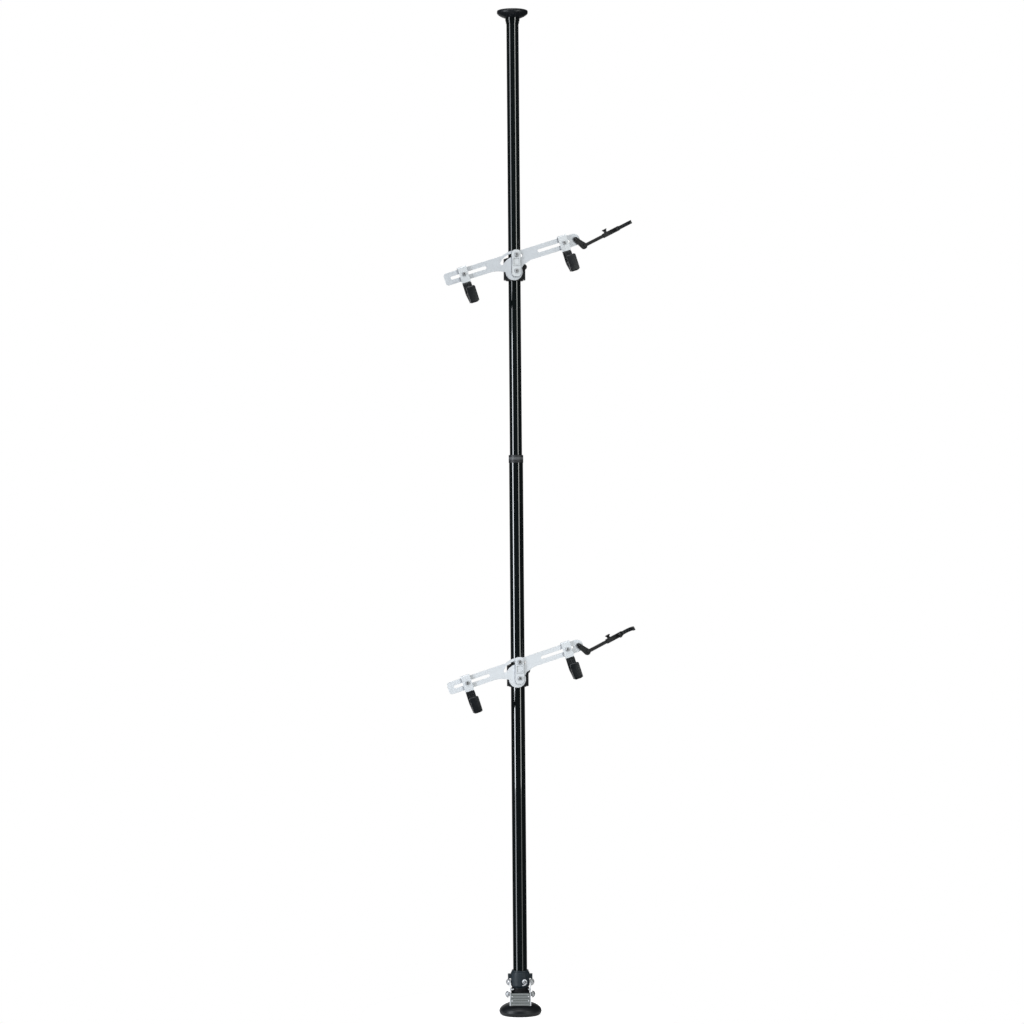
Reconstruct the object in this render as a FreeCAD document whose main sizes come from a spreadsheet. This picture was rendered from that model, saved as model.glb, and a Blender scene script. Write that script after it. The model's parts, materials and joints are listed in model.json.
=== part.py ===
import FreeCAD, Part

import math
import os
import re

import Sketcher
from FreeCAD import Placement, Rotation, Vector

# Two-tier bicycle rack: a telescopic pole held between floor and ceiling, with a
# pedal at its foot that lifts the pole and locks it, and two tilting mounts, each
# with two sliding hooks and a stabiliser arm for a bicycle.
# Millimetres, +Z up, the hooks face -Y. The origin is the middle of the foot's
# underside, on the pole's axis.

sizes = {
    # fits
    "slideFit": 0.05,
    "plateFit": 0.3,
    "cutOver": 1,
    # pole
    "fullHeight": 2859,
    "collarTop": 1593,
    "collarTall": 22,
    "collarWall": 1.75,
    "collarChamfer": 0.8,
    "lowerTubeRadius": 20,
    "telescopeGap": 0.5,
    "tubeWall": 2,
    "tubeInsert": 240,
    "neckDeep": 1,
    "mouthFlare": 0.6,
    "wedgeTall": 6,
    "wedgeHead": 2.2,
    "wedgeSplit": 3,
    "collarLip": 2.7,
    "bushTall": 12,
    "bushSpigot": 20,
    "bushWall": 3.5,
    # foot
    "footTurn": 9,
    "footRadius": 60,
    "footHeel": 6,
    "footBulge": 10.5,
    "footShoulder": 4.1,
    "footShoulderHigh": 20.4,
    "footHigh": 32.5,
    "footFloor": 6,
    "footDomeDrop": 10.5,
    "footCrownStep": 3,
    "postFlangeStep": 3,
    "postFlangeTop": 24,
    "postFlareTop": 36,
    "postFlareReach": 22,
    "postGap": 0.5,
    "postBlockTop": 61.5,
    "postChamfer": 1.5,
    "postFloor": 69.5,
    "postTop": 168,
    "postNose": 2,
    "postWall": 5,
    # axles and cam
    "lowerAxleHigh": 57,
    "axleSpan": 35,
    "axleRadius": 4,
    "axleHead": 10.4,
    "axleHeadTall": 9.5,
    "axleShoulder": 0.2,
    "axleSpacer": 3,
    "axleSpacerRadius": 6.1,
    "poleDrop": 8,
    "camBack": 10.61,
    "camRise": 7.95,
    "camSweep": 37.6,
    "camWall": 3.2,
    "frameGap": 1,
    "frameSheet": 3,
    "frameFront": 50,
    "frameSlope": 20,
    "frameStep": 2,
    "frameHub": 13,
    # pedal
    "treadBelow": 25,
    "treadAbove": 10,
    "treadBack": 46,
    "treadThick": 4,
    "treadRidgeEnd": 2.7,
    "treadRidgeProud": 1.5,
    "treadRidgeTall": 4.2,
    "treadRidgePitch": 7,
    "treadRidgeStart": 2.4,
    "treadRidges": 5,
    "frameWeb": 2,
    "frameWebDrop": 4,
    "frameTab": 9,
    "frameTabTall": 3,
    "frameTabThick": 3,
    "frameBite": 1,
    # housing
    "housingBottom": 78,
    "housingTop": 121,
    "housingWall": 6.5,
    "housingLedge": 2,
    "housingTaper": 3,
    "housingTaperTall": 5,
    "housingChamfer": 1,
    "housingRimWall": 4,
    "housingRimTall": 5,
    "earOver": 4.5,
    "earHalfDeep": 8,
    "earBottom": 103,
    "earTall": 12,
    "earRound": 2,
    # catch on the housing
    "catchSide": 12.5,
    "catchHigh": 96,
    "catchRadius": 7,
    "catchProud": 4.6,
    "catchRim": 1.2,
    "catchGap": 0.2,
    "catchStem": 2.5,
    "catchTail": 11,
    "catchTailAside": 6,
    "catchTailTip": 2,
    "catchTailThick": 2,
    "bossRadius": 9.5,
    "bossProud": 0.7,
    "bossRecess": 1.5,
    # ceiling end
    "hubStep": 3,
    "hubTall": 14,
    "hubBandTall": 7,
    "hubBandWall": 1.5,
    "hubSpigot": 30,
    "ceilingRadius": 44,
    "ceilingRim": 9,
    "ceilingCone": 7,
    "ceilingSkin": 7,
    "ceilingStep": 2,
    # clamp on the pole
    "linerWall": 2.5,
    "linerLipProud": 1.7,
    "linerLipTall": 2,
    "clampWall": 8.5,
    "clampBelow": 24,
    "clampAbove": 36,
    "clampFlatWall": 5.5,
    "tongueHalf": 11,
    "tongueTop": 56,
    "tongueThick": 3.4,
    "tongueRoot": 8,
    "tongueRound": 5,
    "screwDrop": 11,
    "screwRadius": 5,
    "screwBoss": 11,
    "screwBossProud": 4,
    "shoeRadius": 7,
    "shoeThick": 4.5,
    "leverLength": 44,
    "leverHub": 10,
    "leverHubThick": 9,
    "leverThick": 6,
    "leverEye": 8.5,
    "leverEyeHole": 3,
    "leverWaist": 4.5,
    "leverWaistAlong": 20,
    "leverInset": 0.5,
    "leverTurn": 40,
    "screwCap": 6.5,
    "screwCapTall": 2.5,
    "screwCapRim": 0.8,
    # swivel bracket
    "bracketWide": 25,
    "bracketAbove": 60,
    "bracketBelow": 16,
    "bracketSheet": 3,
    "bracketRound": 9,
    "bracketRib": 1.5,
    "bracketRibWide": 3,
    "bracketRibInset": 1.5,
    "bracketRibLow": 15,
    "bracketRibTop": 38,
    "boltRadius": 3,
    "boltHead": 5.3,
    "boltHeadTall": 4.5,
    "boltChamfer": 1.2,
    "boltSocket": 2.6,
    "boltSocketDeep": 2,
    "boltBite": 5,
    "tiltBolt": 46,
    "pivotDisc": 12,
    "tiltDisc": 8,
    "discThick": 1,
    # beam
    "upperPivot": 2115,
    "lowerPivot": 959,
    "beamTilt": 17.5,
    "beamThick": 4,
    "beamReach": 203,
    "armMiddle": 35,
    "armHalf": 17.5,
    "beamDisc": 58,
    "hubLeft": 30,
    "hubLeftRise": 5,
    "hubDrop": 0.7,
    "hubRight": 17.5,
    "hubRightRise": 3,
    "taperAlong": 25.7,
    "taperRise": 10,
    "flareLeft": 72,
    "flareRight": 50,
    "slotHalf": 4.5,
    "leftSlotEnd": 21.5,
    "leftSlotIn": 82.5,
    "rightSlotIn": 80.5,
    "rightSlotEnd": 33.5,
    "tiltSlotHalf": 5,
    "tiltSlotLeft": 45,
    "tiltSlotRight": 34.5,
    "beamCorner": 8,
    # hooks
    "leftHookInset": 56,
    "rightHookInset": 48,
    "hookSheet": 3.5,
    "hookWide": 24,
    "hookTop": 18,
    "hookPad": 3.5,
    "hookCoat": 2,
    "hookGap": 36,
    "hookCradle": 74,
    "hookLipTop": 42.5,
    "padTop": 26,
    "padEdge": 2,
    "padWide": 25.5,
    "padBottom": 86,
    "padChin": 9,
    "padHeel": 5,
    "saddleWide": 26,
    "saddleSheet": 3,
    "saddleAbove": 22.5,
    "saddleBelow": 24,
    "saddleBack": 9,
    "hookBolt": 4,
    "hookBoltHead": 5.2,
    "hookBoltHeadTall": 3.4,
    "hookNut": 7.2,
    "hookNutTall": 4.5,
    "hookBoltEnd": 1,
    # stabiliser arm
    "armPivotInset": 13,
    "armRise": 9.5,
    "legLength": 31,
    "legTurn": 64,
    "legThick": 5,
    "legPivotHalf": 6.25,
    "legElbowHalf": 9.5,
    "barLength": 80,
    "barHalf": 4.8,
    "barThick": 6,
    "barProud": 2.7,
    "barTeeth": 26,
    "barTeethStart": 18,
    "barTeethEnd": 4,
    "barToothDeep": 0.5,
    "rivetHead": 5.5,
    "rivetHeadTall": 1.7,
    "rivetGap": 0.1,
    # yoke at the arm's end
    "sleeveStart": 62,
    "sleeveCavity": 36,
    "sleeveWall": 1.5,
    "yokeReach": 123,
    "yokeBore": 18,
    "yokePadThick": 3,
    "yokeWall": 3.5,
    "yokeHalf": 5.2,
    "yokeLeg": 12,
    "knobAlong": 73,
    "knobNeck": 3,
    "knobRadius": 7.5,
    "knobTall": 9,
    "knobFoot": 4.4,
    "knobFootTall": 3.15,
    "knobShoulder": 6.75,
    "knobFlare": 1.5,
    "knobChamfer": 1,
}

# sizes that follow from the ones above
worked = {
    # pole
    "upperTubeRadius": "(lowerTubeRadius - tubeWall - telescopeGap)",
    "lowerBore": "(lowerTubeRadius - tubeWall)",
    "upperBore": "(upperTubeRadius - tubeWall)",
    "bushBore": "(upperBore - bushWall)",
    "neckBottom": "(collarTop - collarTall)",
    "tubeTop": "(collarTop - collarLip - wedgeHead - slideFit)",
    "wedgeTop": "(collarTop - collarLip - slideFit)",
    "tubeBottom": "(housingBottom + housingLedge)",
    "upperTubeBottom": "(collarTop - tubeInsert)",
    # foot, pedal and housing
    "housingRadius": "(lowerTubeRadius + housingWall)",
    "housingRimRadius": "(lowerTubeRadius + housingRimWall)",
    "bossFront": "(housingRadius + bossProud)",
    "frameInside": "(housingRadius + frameGap)",
    "frameOutside": "(frameInside + frameSheet)",
    "earReach": "(frameOutside + earOver)",
    "postBlock": "(frameInside - postGap)",
    "postFlange": "(postBlock + postFlangeStep)",
    "footCrown": "(postFlange + footCrownStep)",
    "postFlareMiddle": "(postFlange + postFlareReach)",
    "upperAxleHigh": "(lowerAxleHigh + axleSpan)",
    "treadRidgeHalf": "(frameInside - treadRidgeEnd)",
    # ceiling end
    "hubRadius": "(upperTubeRadius + hubStep)",
    "hubBandRadius": "(upperTubeRadius + hubBandWall)",
    "hubBottomHigh": "(fullHeight - ceilingRim - ceilingCone - hubTall)",
    "padFloor": "(fullHeight - ceilingSkin)",
    # mounts
    "linerRadius": "(lowerTubeRadius + linerWall)",
    "linerLip": "(linerRadius + linerLipProud)",
    "clampRadius": "(linerRadius + clampWall)",
    "clampFront": "(linerRadius + clampFlatWall)",
    "screwBossBack": "(clampRadius + screwBossProud)",
    "beamBack": "(clampFront + discThick)",
    "beamFront": "(beamBack + beamThick)",
    "bracketBack": "(beamFront + discThick)",
    "bracketFront": "(bracketBack + bracketSheet)",
    "leftSlotOut": "(beamReach - leftSlotEnd)",
    "rightSlotOut": "(beamReach - rightSlotEnd)",
    "leftHook": "(beamReach - leftHookInset)",
    "rightHook": "(beamReach - rightHookInset)",
    "steelBack": "(beamFront + plateFit)",
    "steelFront": "(steelBack + hookSheet)",
    "gapBack": "(steelFront + hookPad)",
    "gapMiddle": "(gapBack + hookGap / 2)",
    # stabiliser arm
    "armPivotAlong": "(beamReach - armPivotInset)",
    "elbowAlong": "(legLength * cos(legTurn))",
    "barHigh": "(-legLength * sin(legTurn))",
    "barFront": "(steelBack + legThick + barProud)",
    "barBack": "(barFront - barThick)",
}

document = FreeCAD.newDocument("BikeRack")
sheet = document.addObject("Spreadsheet::Sheet", "Sizes")
for row, (alias, size) in enumerate(sizes.items(), start=1):
    sheet.set("A%d" % row, alias)
    sheet.set("B%d" % row, str(size))
    sheet.setAlias("B%d" % row, alias)
document.recompute()

parts = {}
planes = {"X": "YZ_Plane", "Y": "XZ_Plane", "Z": "XY_Plane"}


def spelled(text):
    # the expression in driving sizes alone
    while any(word in worked for word in re.findall(r"[A-Za-z]+", text)):
        text = re.sub(r"[A-Za-z]+", lambda word: worked.get(word.group(), word.group()), text)
    return text


def bound(text):
    # the expression, with the sheet named before each size
    return re.sub(r"[A-Za-z]+", lambda word: "Sizes." + word.group() if word.group() in sizes
                  else word.group(), spelled(text))


def value(text):
    number = sheet.evalExpression(spelled(text))
    return float(getattr(number, "Value", number))


def bind(thing, name, text):
    thing.setExpression(name, bound(text))


def place(thing, x="0", y="0", z="0", axis=Vector(0, 0, 1), turn="0"):
    thing.Placement = Placement(Vector(value(x), value(y), value(z)), Rotation(axis, value(turn)))
    bind(thing, ".Placement.Base.x", x)
    bind(thing, ".Placement.Base.y", y)
    bind(thing, ".Placement.Base.z", z)
    bind(thing, ".Placement.Rotation.Angle", turn)


def newBody(label):
    body = document.addObject("PartDesign::Body", label)
    body.Label = label
    return body


def arc(x, y, turn, middleX=None, middleY=None):
    # an arc to x, y; its middle lies on the given x or y, and turn is 1 anticlockwise
    return (x, y, turn, middleX, middleY)


def newSketch(body, normal, start="0"):
    # a sketch square to the normal; on Y the normal points to the front, which is -Y
    sketch = body.newObject("Sketcher::SketchObject", body.Label + "_sketch")
    plane = [item for item in body.Origin.OriginFeatures if item.Role == planes[normal]][0]
    sketch.AttachmentSupport = [(plane, "")]
    sketch.MapMode = "FlatFace"
    sketch.AttachmentOffset = Placement(Vector(0, 0, value(start)), Rotation())
    bind(sketch, ".AttachmentOffset.Base.z", start)
    return sketch


def fix(sketch, kind, index, vertex, text):
    number = sketch.addConstraint(Sketcher.Constraint(kind, -1, 1, index, vertex, value(text)))
    bind(sketch, "Constraints[%d]" % number, text)


def arcMiddle(first, last, step):
    # where the arc's middle is, from the one coordinate given and the two ends
    halfway = (first + last) / 2
    along = last - first
    if step[3] is not None:
        x = value(step[3])
        return Vector(x, halfway.y - along.x * (x - halfway.x) / along.y, 0)
    y = value(step[4])
    return Vector(halfway.x - along.y * (y - halfway.y) / along.x, y, 0)


def outline(sketch, steps):
    # a closed outline: each step is the next corner, reached by a line or by an arc
    corners = [Vector(value(step[0]), value(step[1]), 0) for step in steps]
    first = sketch.GeometryCount
    starts, ends = [], []
    for number, corner in enumerate(corners):
        following = (number + 1) % len(steps)
        step, target = steps[following], corners[following]
        if len(step) == 2:
            sketch.addGeometry(Part.LineSegment(corner, target))
            starts.append(1)
            ends.append(2)
            continue
        middle = arcMiddle(corner, target, step)
        circle = Part.Circle(middle, Vector(0, 0, 1), corner.distanceToPoint(middle))
        angles = [math.atan2(point.y - middle.y, point.x - middle.x) for point in (corner, target)]
        if step[2] < 0:
            angles.reverse()
        sketch.addGeometry(Part.ArcOfCircle(circle, angles[0], angles[1]))
        starts.append(1 if step[2] > 0 else 2)
        ends.append(2 if step[2] > 0 else 1)
    for number, step in enumerate(steps):
        following = (number + 1) % len(steps)
        sketch.addConstraint(Sketcher.Constraint("Coincident", first + number, ends[number],
                                                 first + following, starts[following]))
        fix(sketch, "DistanceX", first + number, starts[number], step[0])
        fix(sketch, "DistanceY", first + number, starts[number], step[1])
        reached = steps[following]
        if len(reached) > 2 and reached[3] is not None:
            fix(sketch, "DistanceX", first + number, 3, reached[3])
        elif len(reached) > 2:
            fix(sketch, "DistanceY", first + number, 3, reached[4])


def hole(sketch, x, y, radius):
    number = sketch.addGeometry(Part.Circle(Vector(value(x), value(y), 0), Vector(0, 0, 1), value(radius)))
    fix(sketch, "DistanceX", number, 3, x)
    fix(sketch, "DistanceY", number, 3, y)
    number = sketch.addConstraint(Sketcher.Constraint("Radius", number, value(radius)))
    bind(sketch, "Constraints[%d]" % number, radius)


def box(sketch, left, right, low, high):
    outline(sketch, [(left, low), (right, low), (right, high), (left, high)])


def slot(sketch, left, right, middle, half):
    low, high = "%s - (%s)" % (middle, half), "%s + (%s)" % (middle, half)
    outline(sketch, [arc(left, low, 1, middleX=left), (right, low),
                     arc(right, high, 1, middleX=right), (left, high)])


def pad(body, sketch, thick, both=False):
    feature = body.newObject("PartDesign::Pad", body.Label + "_pad")
    feature.Profile = sketch
    feature.Length = value(thick)
    bind(feature, "Length", thick)
    if both:
        feature.SideType = "Symmetric"
    document.recompute([feature])
    return feature


def cut(body, sketch, deep, forward=False, both=False):
    # forward cuts along the sketch's normal, and otherwise the cut goes against it
    before = body.Tip.Shape.Volume
    feature = body.newObject("PartDesign::Pocket", body.Label + "_pocket")
    feature.Profile = sketch
    feature.Length = value(deep)
    bind(feature, "Length", deep)
    feature.Reversed = forward
    if both:
        feature.SideType = "Symmetric"
    document.recompute([feature])
    if feature.Shape.Volume > before - 0.01:
        raise RuntimeError("a pocket of %s cuts nothing" % body.Label)
    return feature


def turned(label, along, steps):
    # a piece turned about its own axis: each corner is radius, then place along the axis
    body = newBody(label)
    sketch = newSketch(body, "Z" if along == "Y" else "Y")
    if along == "X":
        flipped = [(step[1], step[0]) if len(step) == 2 else (step[1], step[0], -step[2], step[4], step[3])
                   for step in steps]
        outline(sketch, flipped)
    else:
        outline(sketch, steps)
    feature = body.newObject("PartDesign::Revolution", label + "_turn")
    feature.Profile = sketch
    feature.ReferenceAxis = (sketch, ["H_Axis" if along == "X" else "V_Axis"])
    feature.Angle = 360
    document.recompute([feature])
    return body


def rounded(body, radius, wanted):
    # rounds every edge of the body so far for which wanted(edge) is true
    before = body.Tip
    names = ["Edge%d" % (number + 1) for number, edge in enumerate(before.Shape.Edges) if wanted(edge)]
    if not names:
        raise RuntimeError("no edge of %s to round" % body.Label)
    feature = body.newObject("PartDesign::Fillet", body.Label + "_fillet")
    feature.Base = (before, names)
    feature.Radius = value(radius)
    bind(feature, "Radius", radius)
    document.recompute([feature])
    return feature


def edgesAt(corners, first, second):
    # the straight edges whose middle is at one of the corners, seen along the third axis
    spots = [(value(x), value(y)) for x, y in corners]

    def wanted(edge):
        middle = edge.CenterOfMass
        return edge.Curve.TypeId == "Part::GeomLine" and any(
            abs(getattr(middle, first) - x) < 0.01 and abs(getattr(middle, second) - y) < 0.01
            for x, y in spots)
    return wanted


def keep(node, thing):
    thing.Label = node
    parts[node] = thing
    return thing


def group(node, pieces):
    together = document.addObject("Part::Compound", node)
    together.Links = pieces
    return keep(node, together)


def foot():
    bore = "postFlange + slideFit"
    body = turned("foot_pad", "Z", [
        ("0", "0"), ("footRadius - footHeel", "0"), arc("footRadius", "footBulge", 1, middleY="footBulge"),
        arc("footRadius - footShoulder", "footShoulderHigh", 1, middleY="footBulge"),
        arc("footCrown", "footHigh", 1, middleY="-footDomeDrop"),
        (bore, "footHigh"), (bore, "footFloor"), ("0", "footFloor")])
    keep("foot_pad", body)
    place(body, turn="-footTurn")


def basePost():
    stem = "(lowerBore - slideFit)"
    inside = "(lowerBore - slideFit - postWall)"
    body = turned("base_post", "Z", [
        ("0", "footFloor"), ("postFlange", "footFloor"), ("postFlange", "postFlangeTop"),
        arc("postBlock", "postFlareTop", -1, middleX="postFlareMiddle"),
        ("postBlock", "postBlockTop - postChamfer"), ("postBlock - postChamfer", "postBlockTop"),
        (stem, "postBlockTop"), (stem, "postTop - postNose"), (stem + " - postNose", "postTop"),
        (inside, "postTop"), (inside, "postFloor"), ("0", "postFloor")])
    sketch = newSketch(body, "X")
    low = "upperAxleHigh - poleDrop"
    half = "(axleRadius + plateFit)"
    outline(sketch, [arc("-" + half, low, -1, middleY=low), ("-" + half, "upperAxleHigh"),
                     arc(half, "upperAxleHigh", -1, middleY="upperAxleHigh"), (half, low)])
    hole(sketch, "0", "lowerAxleHigh", "axleRadius")
    cut(body, sketch, "2 * postFlange", both=True)
    keep("base_post", body)
    place(body, turn="-footTurn")


def axle(node, high, shoulder, spacer):
    # a crosswise pin with a domed head at each end, and a spacer under each head if it has one
    head = shoulder + spacer
    tip = "(%s + axleHeadTall)" % head
    steps = [("0", "-" + tip), arc("axleHead", "-(%s)" % head, 1, middleX="0")]
    if spacer:
        steps += [("axleSpacerRadius", "-(%s)" % head), ("axleSpacerRadius", "-(%s)" % shoulder)]
    steps += [("axleRadius", "-(%s)" % shoulder), ("axleRadius", shoulder)]
    if spacer:
        steps += [("axleSpacerRadius", shoulder), ("axleSpacerRadius", head)]
    steps += [("axleHead", head), arc("0", tip, 1, middleX="0")]
    body = turned(node, "X", steps)
    keep(node, body)
    place(body, z=high, turn="-footTurn")


def pedalFrame():
    # two side plates joined by a web behind the tread; a curved slot in each plate carries the
    # upper axle, and draws it nearer to the lower axle as the pedal rises
    radius = "sqrt(camBack ^ 2 + (axleSpan - camRise) ^ 2)"
    begin = "acos(-camBack / %s)" % radius
    finish = "(%s + camSweep * 1 deg)" % begin
    half = "(axleRadius + plateFit)"
    rim = "(axleRadius + plateFit + camWall)"

    def onCam(grow, angle):
        reach = "(%s + (%s))" % (radius, grow)
        return "camBack + %s * cos(%s)" % (reach, angle), "camRise + %s * sin(%s)" % (reach, angle)

    def sidePlate(start):
        sketch = newSketch(body, "X", start)
        outerEnd, outerStart = onCam(rim, finish), onCam(rim, begin)
        innerStart = onCam("-" + rim, begin)
        outline(sketch, [
            ("-frameFront", "-treadBelow"), ("-frameFront", "treadAbove - frameStep"),
            ("-frameFront + frameSlope", "treadAbove"), outerEnd,
            arc(outerStart[0], outerStart[1], -1, middleY="camRise"),
            arc(innerStart[0], innerStart[1], -1, middleY="axleSpan"),
            ("frameHub", "0"), arc("0", "-frameHub", -1, middleY="0"),
            ("-frameFront + frameSlope", "-treadBelow")])
        hole(sketch, "0", "0", "axleRadius + slideFit")
        outside, inside = onCam(half, begin), onCam("-" + half, begin)
        farOutside, farInside = onCam(half, finish), onCam("-" + half, finish)
        outline(sketch, [
            arc(outside[0], outside[1], 1, middleY="axleSpan"),
            arc(farOutside[0], farOutside[1], 1, middleY="camRise"),
            arc(farInside[0], farInside[1], 1, middleY=onCam("0", finish)[1]),
            arc(inside[0], inside[1], -1, middleY="camRise")])
        pad(body, sketch, "frameSheet")

    body = newBody("pedal_frame")
    sidePlate("frameInside")
    web = newSketch(body, "Y", "treadBack - frameWeb")
    box(web, "-frameInside - frameBite", "frameInside + frameBite",
        "-treadBelow", "treadAbove - frameWebDrop")
    pad(body, web, "frameWeb")
    sidePlate("-frameOutside")
    for left, right in (("frameInside - frameTab", "frameInside + frameBite"),
                        ("-frameInside - frameBite", "-frameInside + frameTab")):
        tab = newSketch(body, "Y", "treadBack - frameTabThick")
        box(tab, left, right, "treadAbove - frameWebDrop - frameBite / 2",
            "treadAbove - frameWebDrop + frameTabTall")
        pad(body, tab, "frameTabThick")
    keep("pedal_frame", body)
    place(body, z="lowerAxleHigh", turn="-footTurn")


def tread():
    body = newBody("pedal")
    sketch = newSketch(body, "Y", "treadBack")
    half = "frameInside - slideFit"
    box(sketch, "-(%s)" % half, half, "-treadBelow", "treadAbove")
    pad(body, sketch, "treadThick")
    ridges = newSketch(body, "Y", "treadBack + treadThick")
    for number in range(int(value("treadRidges"))):
        low = "-treadBelow + treadRidgeStart + %d * treadRidgePitch" % number
        box(ridges, "-treadRidgeHalf", "treadRidgeHalf", low, low + " + treadRidgeTall")
    pad(body, ridges, "treadRidgeProud")
    keep("pedal", body)
    place(body, z="lowerAxleHigh", turn="-footTurn")


def housing():
    body = turned("pole_housing", "Z", [
        ("0", "housingBottom"), ("housingRadius - housingTaper", "housingBottom"),
        ("housingRadius", "housingBottom + housingTaperTall"),
        ("housingRadius", "housingTop - housingChamfer"),
        ("housingRadius - housingChamfer", "housingTop"), ("housingRimRadius", "housingTop"),
        ("housingRimRadius", "housingTop + housingRimTall"), ("0", "housingTop + housingRimTall")])
    ears = newSketch(body, "Z", "earBottom")
    box(ears, "-earReach", "earReach", "-earHalfDeep", "earHalfDeep")
    pad(body, ears, "earTall")
    rounded(body, "earRound", lambda edge: abs(abs(edge.CenterOfMass.x) - value("earReach")) < 0.01
            and abs(edge.CenterOfMass.z - value("earBottom + earTall / 2")) < 0.01)
    boss = newSketch(body, "Y")
    hole(boss, "catchSide", "catchHigh", "bossRadius")
    pad(body, boss, "bossFront")
    recess = newSketch(body, "Y", "bossFront")
    hole(recess, "catchSide", "catchHigh", "catchRadius + plateFit")
    cut(body, recess, "bossRecess")
    bore = newSketch(body, "Z", "housingTop + housingRimTall")
    hole(bore, "0", "0", "lowerTubeRadius + slideFit / 2")
    cut(body, bore, "housingTop + housingRimTall - tubeBottom")
    mouth = newSketch(body, "Z", "tubeBottom")
    hole(mouth, "0", "0", "lowerBore + plateFit")
    cut(body, mouth, "housingLedge + cutOver")
    pin = newSketch(body, "X")
    hole(pin, "0", "upperAxleHigh", "axleRadius")
    cut(body, pin, "2 * earReach", both=True)
    stem = newSketch(body, "Y", "bossFront")
    hole(stem, "catchSide", "catchHigh", "catchStem + slideFit")
    cut(body, stem, "bossFront - sqrt(lowerTubeRadius ^ 2 - (catchSide - catchStem) ^ 2) + cutOver")
    keep("pole_housing", body)
    place(body, turn="-footTurn")


def catch():
    base = "-(bossFront - bossRecess + catchGap)"
    tip = "-(bossFront - bossRecess + catchGap + catchProud)"
    foot = "-(sqrt(lowerTubeRadius ^ 2 - (catchSide - catchStem) ^ 2) + plateFit)"
    body = turned("catch", "Y", [
        ("0", foot), ("catchStem", foot), ("catchStem", base), ("catchRadius", base),
        ("catchRadius", base + " - catchRim"), arc("0", tip, -1, middleX="0")])
    # the tail curls down from the dome's right side to its left
    tail = newSketch(body, "Y", "bossFront + plateFit")
    outline(tail, [
        ("catchRadius - catchStem / 5", "-catchStem / 2"),
        arc("-catchTailAside", "-catchTail", -1, middleX="-catchTailAside + catchStem / 2"),
        ("-catchTailAside - catchTailTip / 2", "-catchTail + catchTailTip"),
        arc("catchStem / 2", "-catchRadius + catchStem", 1, middleX="-catchTailAside")])
    pad(body, tail, "catchTailThick")
    keep("catch", body)
    place(body, x="catchSide * cos(footTurn)", y="-catchSide * sin(footTurn)", z="catchHigh",
          turn="-footTurn")


def pole():
    body = turned("lower_tube", "Z", [
        ("lowerBore", "tubeBottom"), ("lowerTubeRadius", "tubeBottom"), ("lowerTubeRadius", "neckBottom"),
        ("lowerTubeRadius - neckDeep", "neckBottom"), ("lowerTubeRadius - neckDeep", "tubeTop"),
        ("lowerBore + mouthFlare", "tubeTop"), ("lowerBore", "tubeTop - wedgeTall - cutOver")])
    pin = newSketch(body, "X")
    hole(pin, "0", "upperAxleHigh", "axleRadius")
    cut(body, pin, "3 * lowerTubeRadius", both=True)
    keep("lower_tube", body)
    place(body, turn="-footTurn")

    inside = "upperTubeRadius + slideFit"
    outside = "lowerBore + mouthFlare + plateFit"
    body = turned("wedge_ring", "Z", [
        (inside, "tubeTop - wedgeTall"), ("lowerBore - slideFit", "tubeTop - wedgeTall"),
        ("lowerBore + mouthFlare - plateFit / 2", "tubeTop"), (outside, "tubeTop"),
        (outside, "wedgeTop"), (inside, "wedgeTop")])
    split = newSketch(body, "Z", "wedgeTop")
    box(split, "-wedgeSplit / 2", "wedgeSplit / 2", "-lowerTubeRadius", "0")
    cut(body, split, "wedgeTall + wedgeHead + cutOver")
    keep("wedge_ring", body)

    seat = "(lowerTubeRadius - neckDeep + slideFit)"
    outside = "(lowerTubeRadius - neckDeep + collarWall)"
    mouth = "upperTubeRadius + plateFit"
    body = turned("lock_collar", "Z", [
        (seat, "neckBottom + slideFit"), (outside, "neckBottom + slideFit"),
        (outside, "collarTop - collarChamfer"), (outside + " - collarChamfer", "collarTop"),
        (mouth, "collarTop"), (mouth, "collarTop - collarLip"), (seat, "collarTop - collarLip")])
    keep("lock_collar", body)

    body = turned("upper_tube", "Z", [
        ("upperBore", "upperTubeBottom"), ("upperTubeRadius", "upperTubeBottom"),
        ("upperTubeRadius", "hubBottomHigh"), ("upperBore", "hubBottomHigh")])
    keep("upper_tube", body)

    bush, spigot = "lowerBore - slideFit", "upperBore - slideFit"
    body = turned("guide_bush", "Z", [
        ("bushBore", "upperTubeBottom - bushTall"), (bush, "upperTubeBottom - bushTall"),
        (bush, "upperTubeBottom"), (spigot, "upperTubeBottom"),
        (spigot, "upperTubeBottom + bushSpigot"), ("bushBore", "upperTubeBottom + bushSpigot")])
    keep("guide_bush", body)

    skirt, band = "upperTubeRadius + slideFit / 2", "hubBottomHigh - hubBandTall"
    body = turned("ceiling_hub", "Z", [
        ("0", "hubBottomHigh - hubSpigot"), (spigot, "hubBottomHigh - hubSpigot"),
        (spigot, "hubBottomHigh"), (skirt, "hubBottomHigh"), (skirt, band), ("hubBandRadius", band),
        ("hubBandRadius", "hubBottomHigh"), ("hubRadius", "hubBottomHigh"), ("hubRadius", "padFloor"),
        ("0", "padFloor")])
    keep("ceiling_hub", body)

    bore, under = "hubRadius + slideFit / 2", "hubBottomHigh + hubTall"
    body = turned("ceiling_pad", "Z", [
        ("0", "padFloor"), (bore, "padFloor"), (bore, under), ("hubRadius + ceilingStep", under),
        ("ceilingRadius", "fullHeight - ceilingRim"), ("ceilingRadius", "fullHeight - ceilingStep"),
        ("ceilingRadius - ceilingStep", "fullHeight"), ("0", "fullHeight")])
    keep("ceiling_pad", body)


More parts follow.
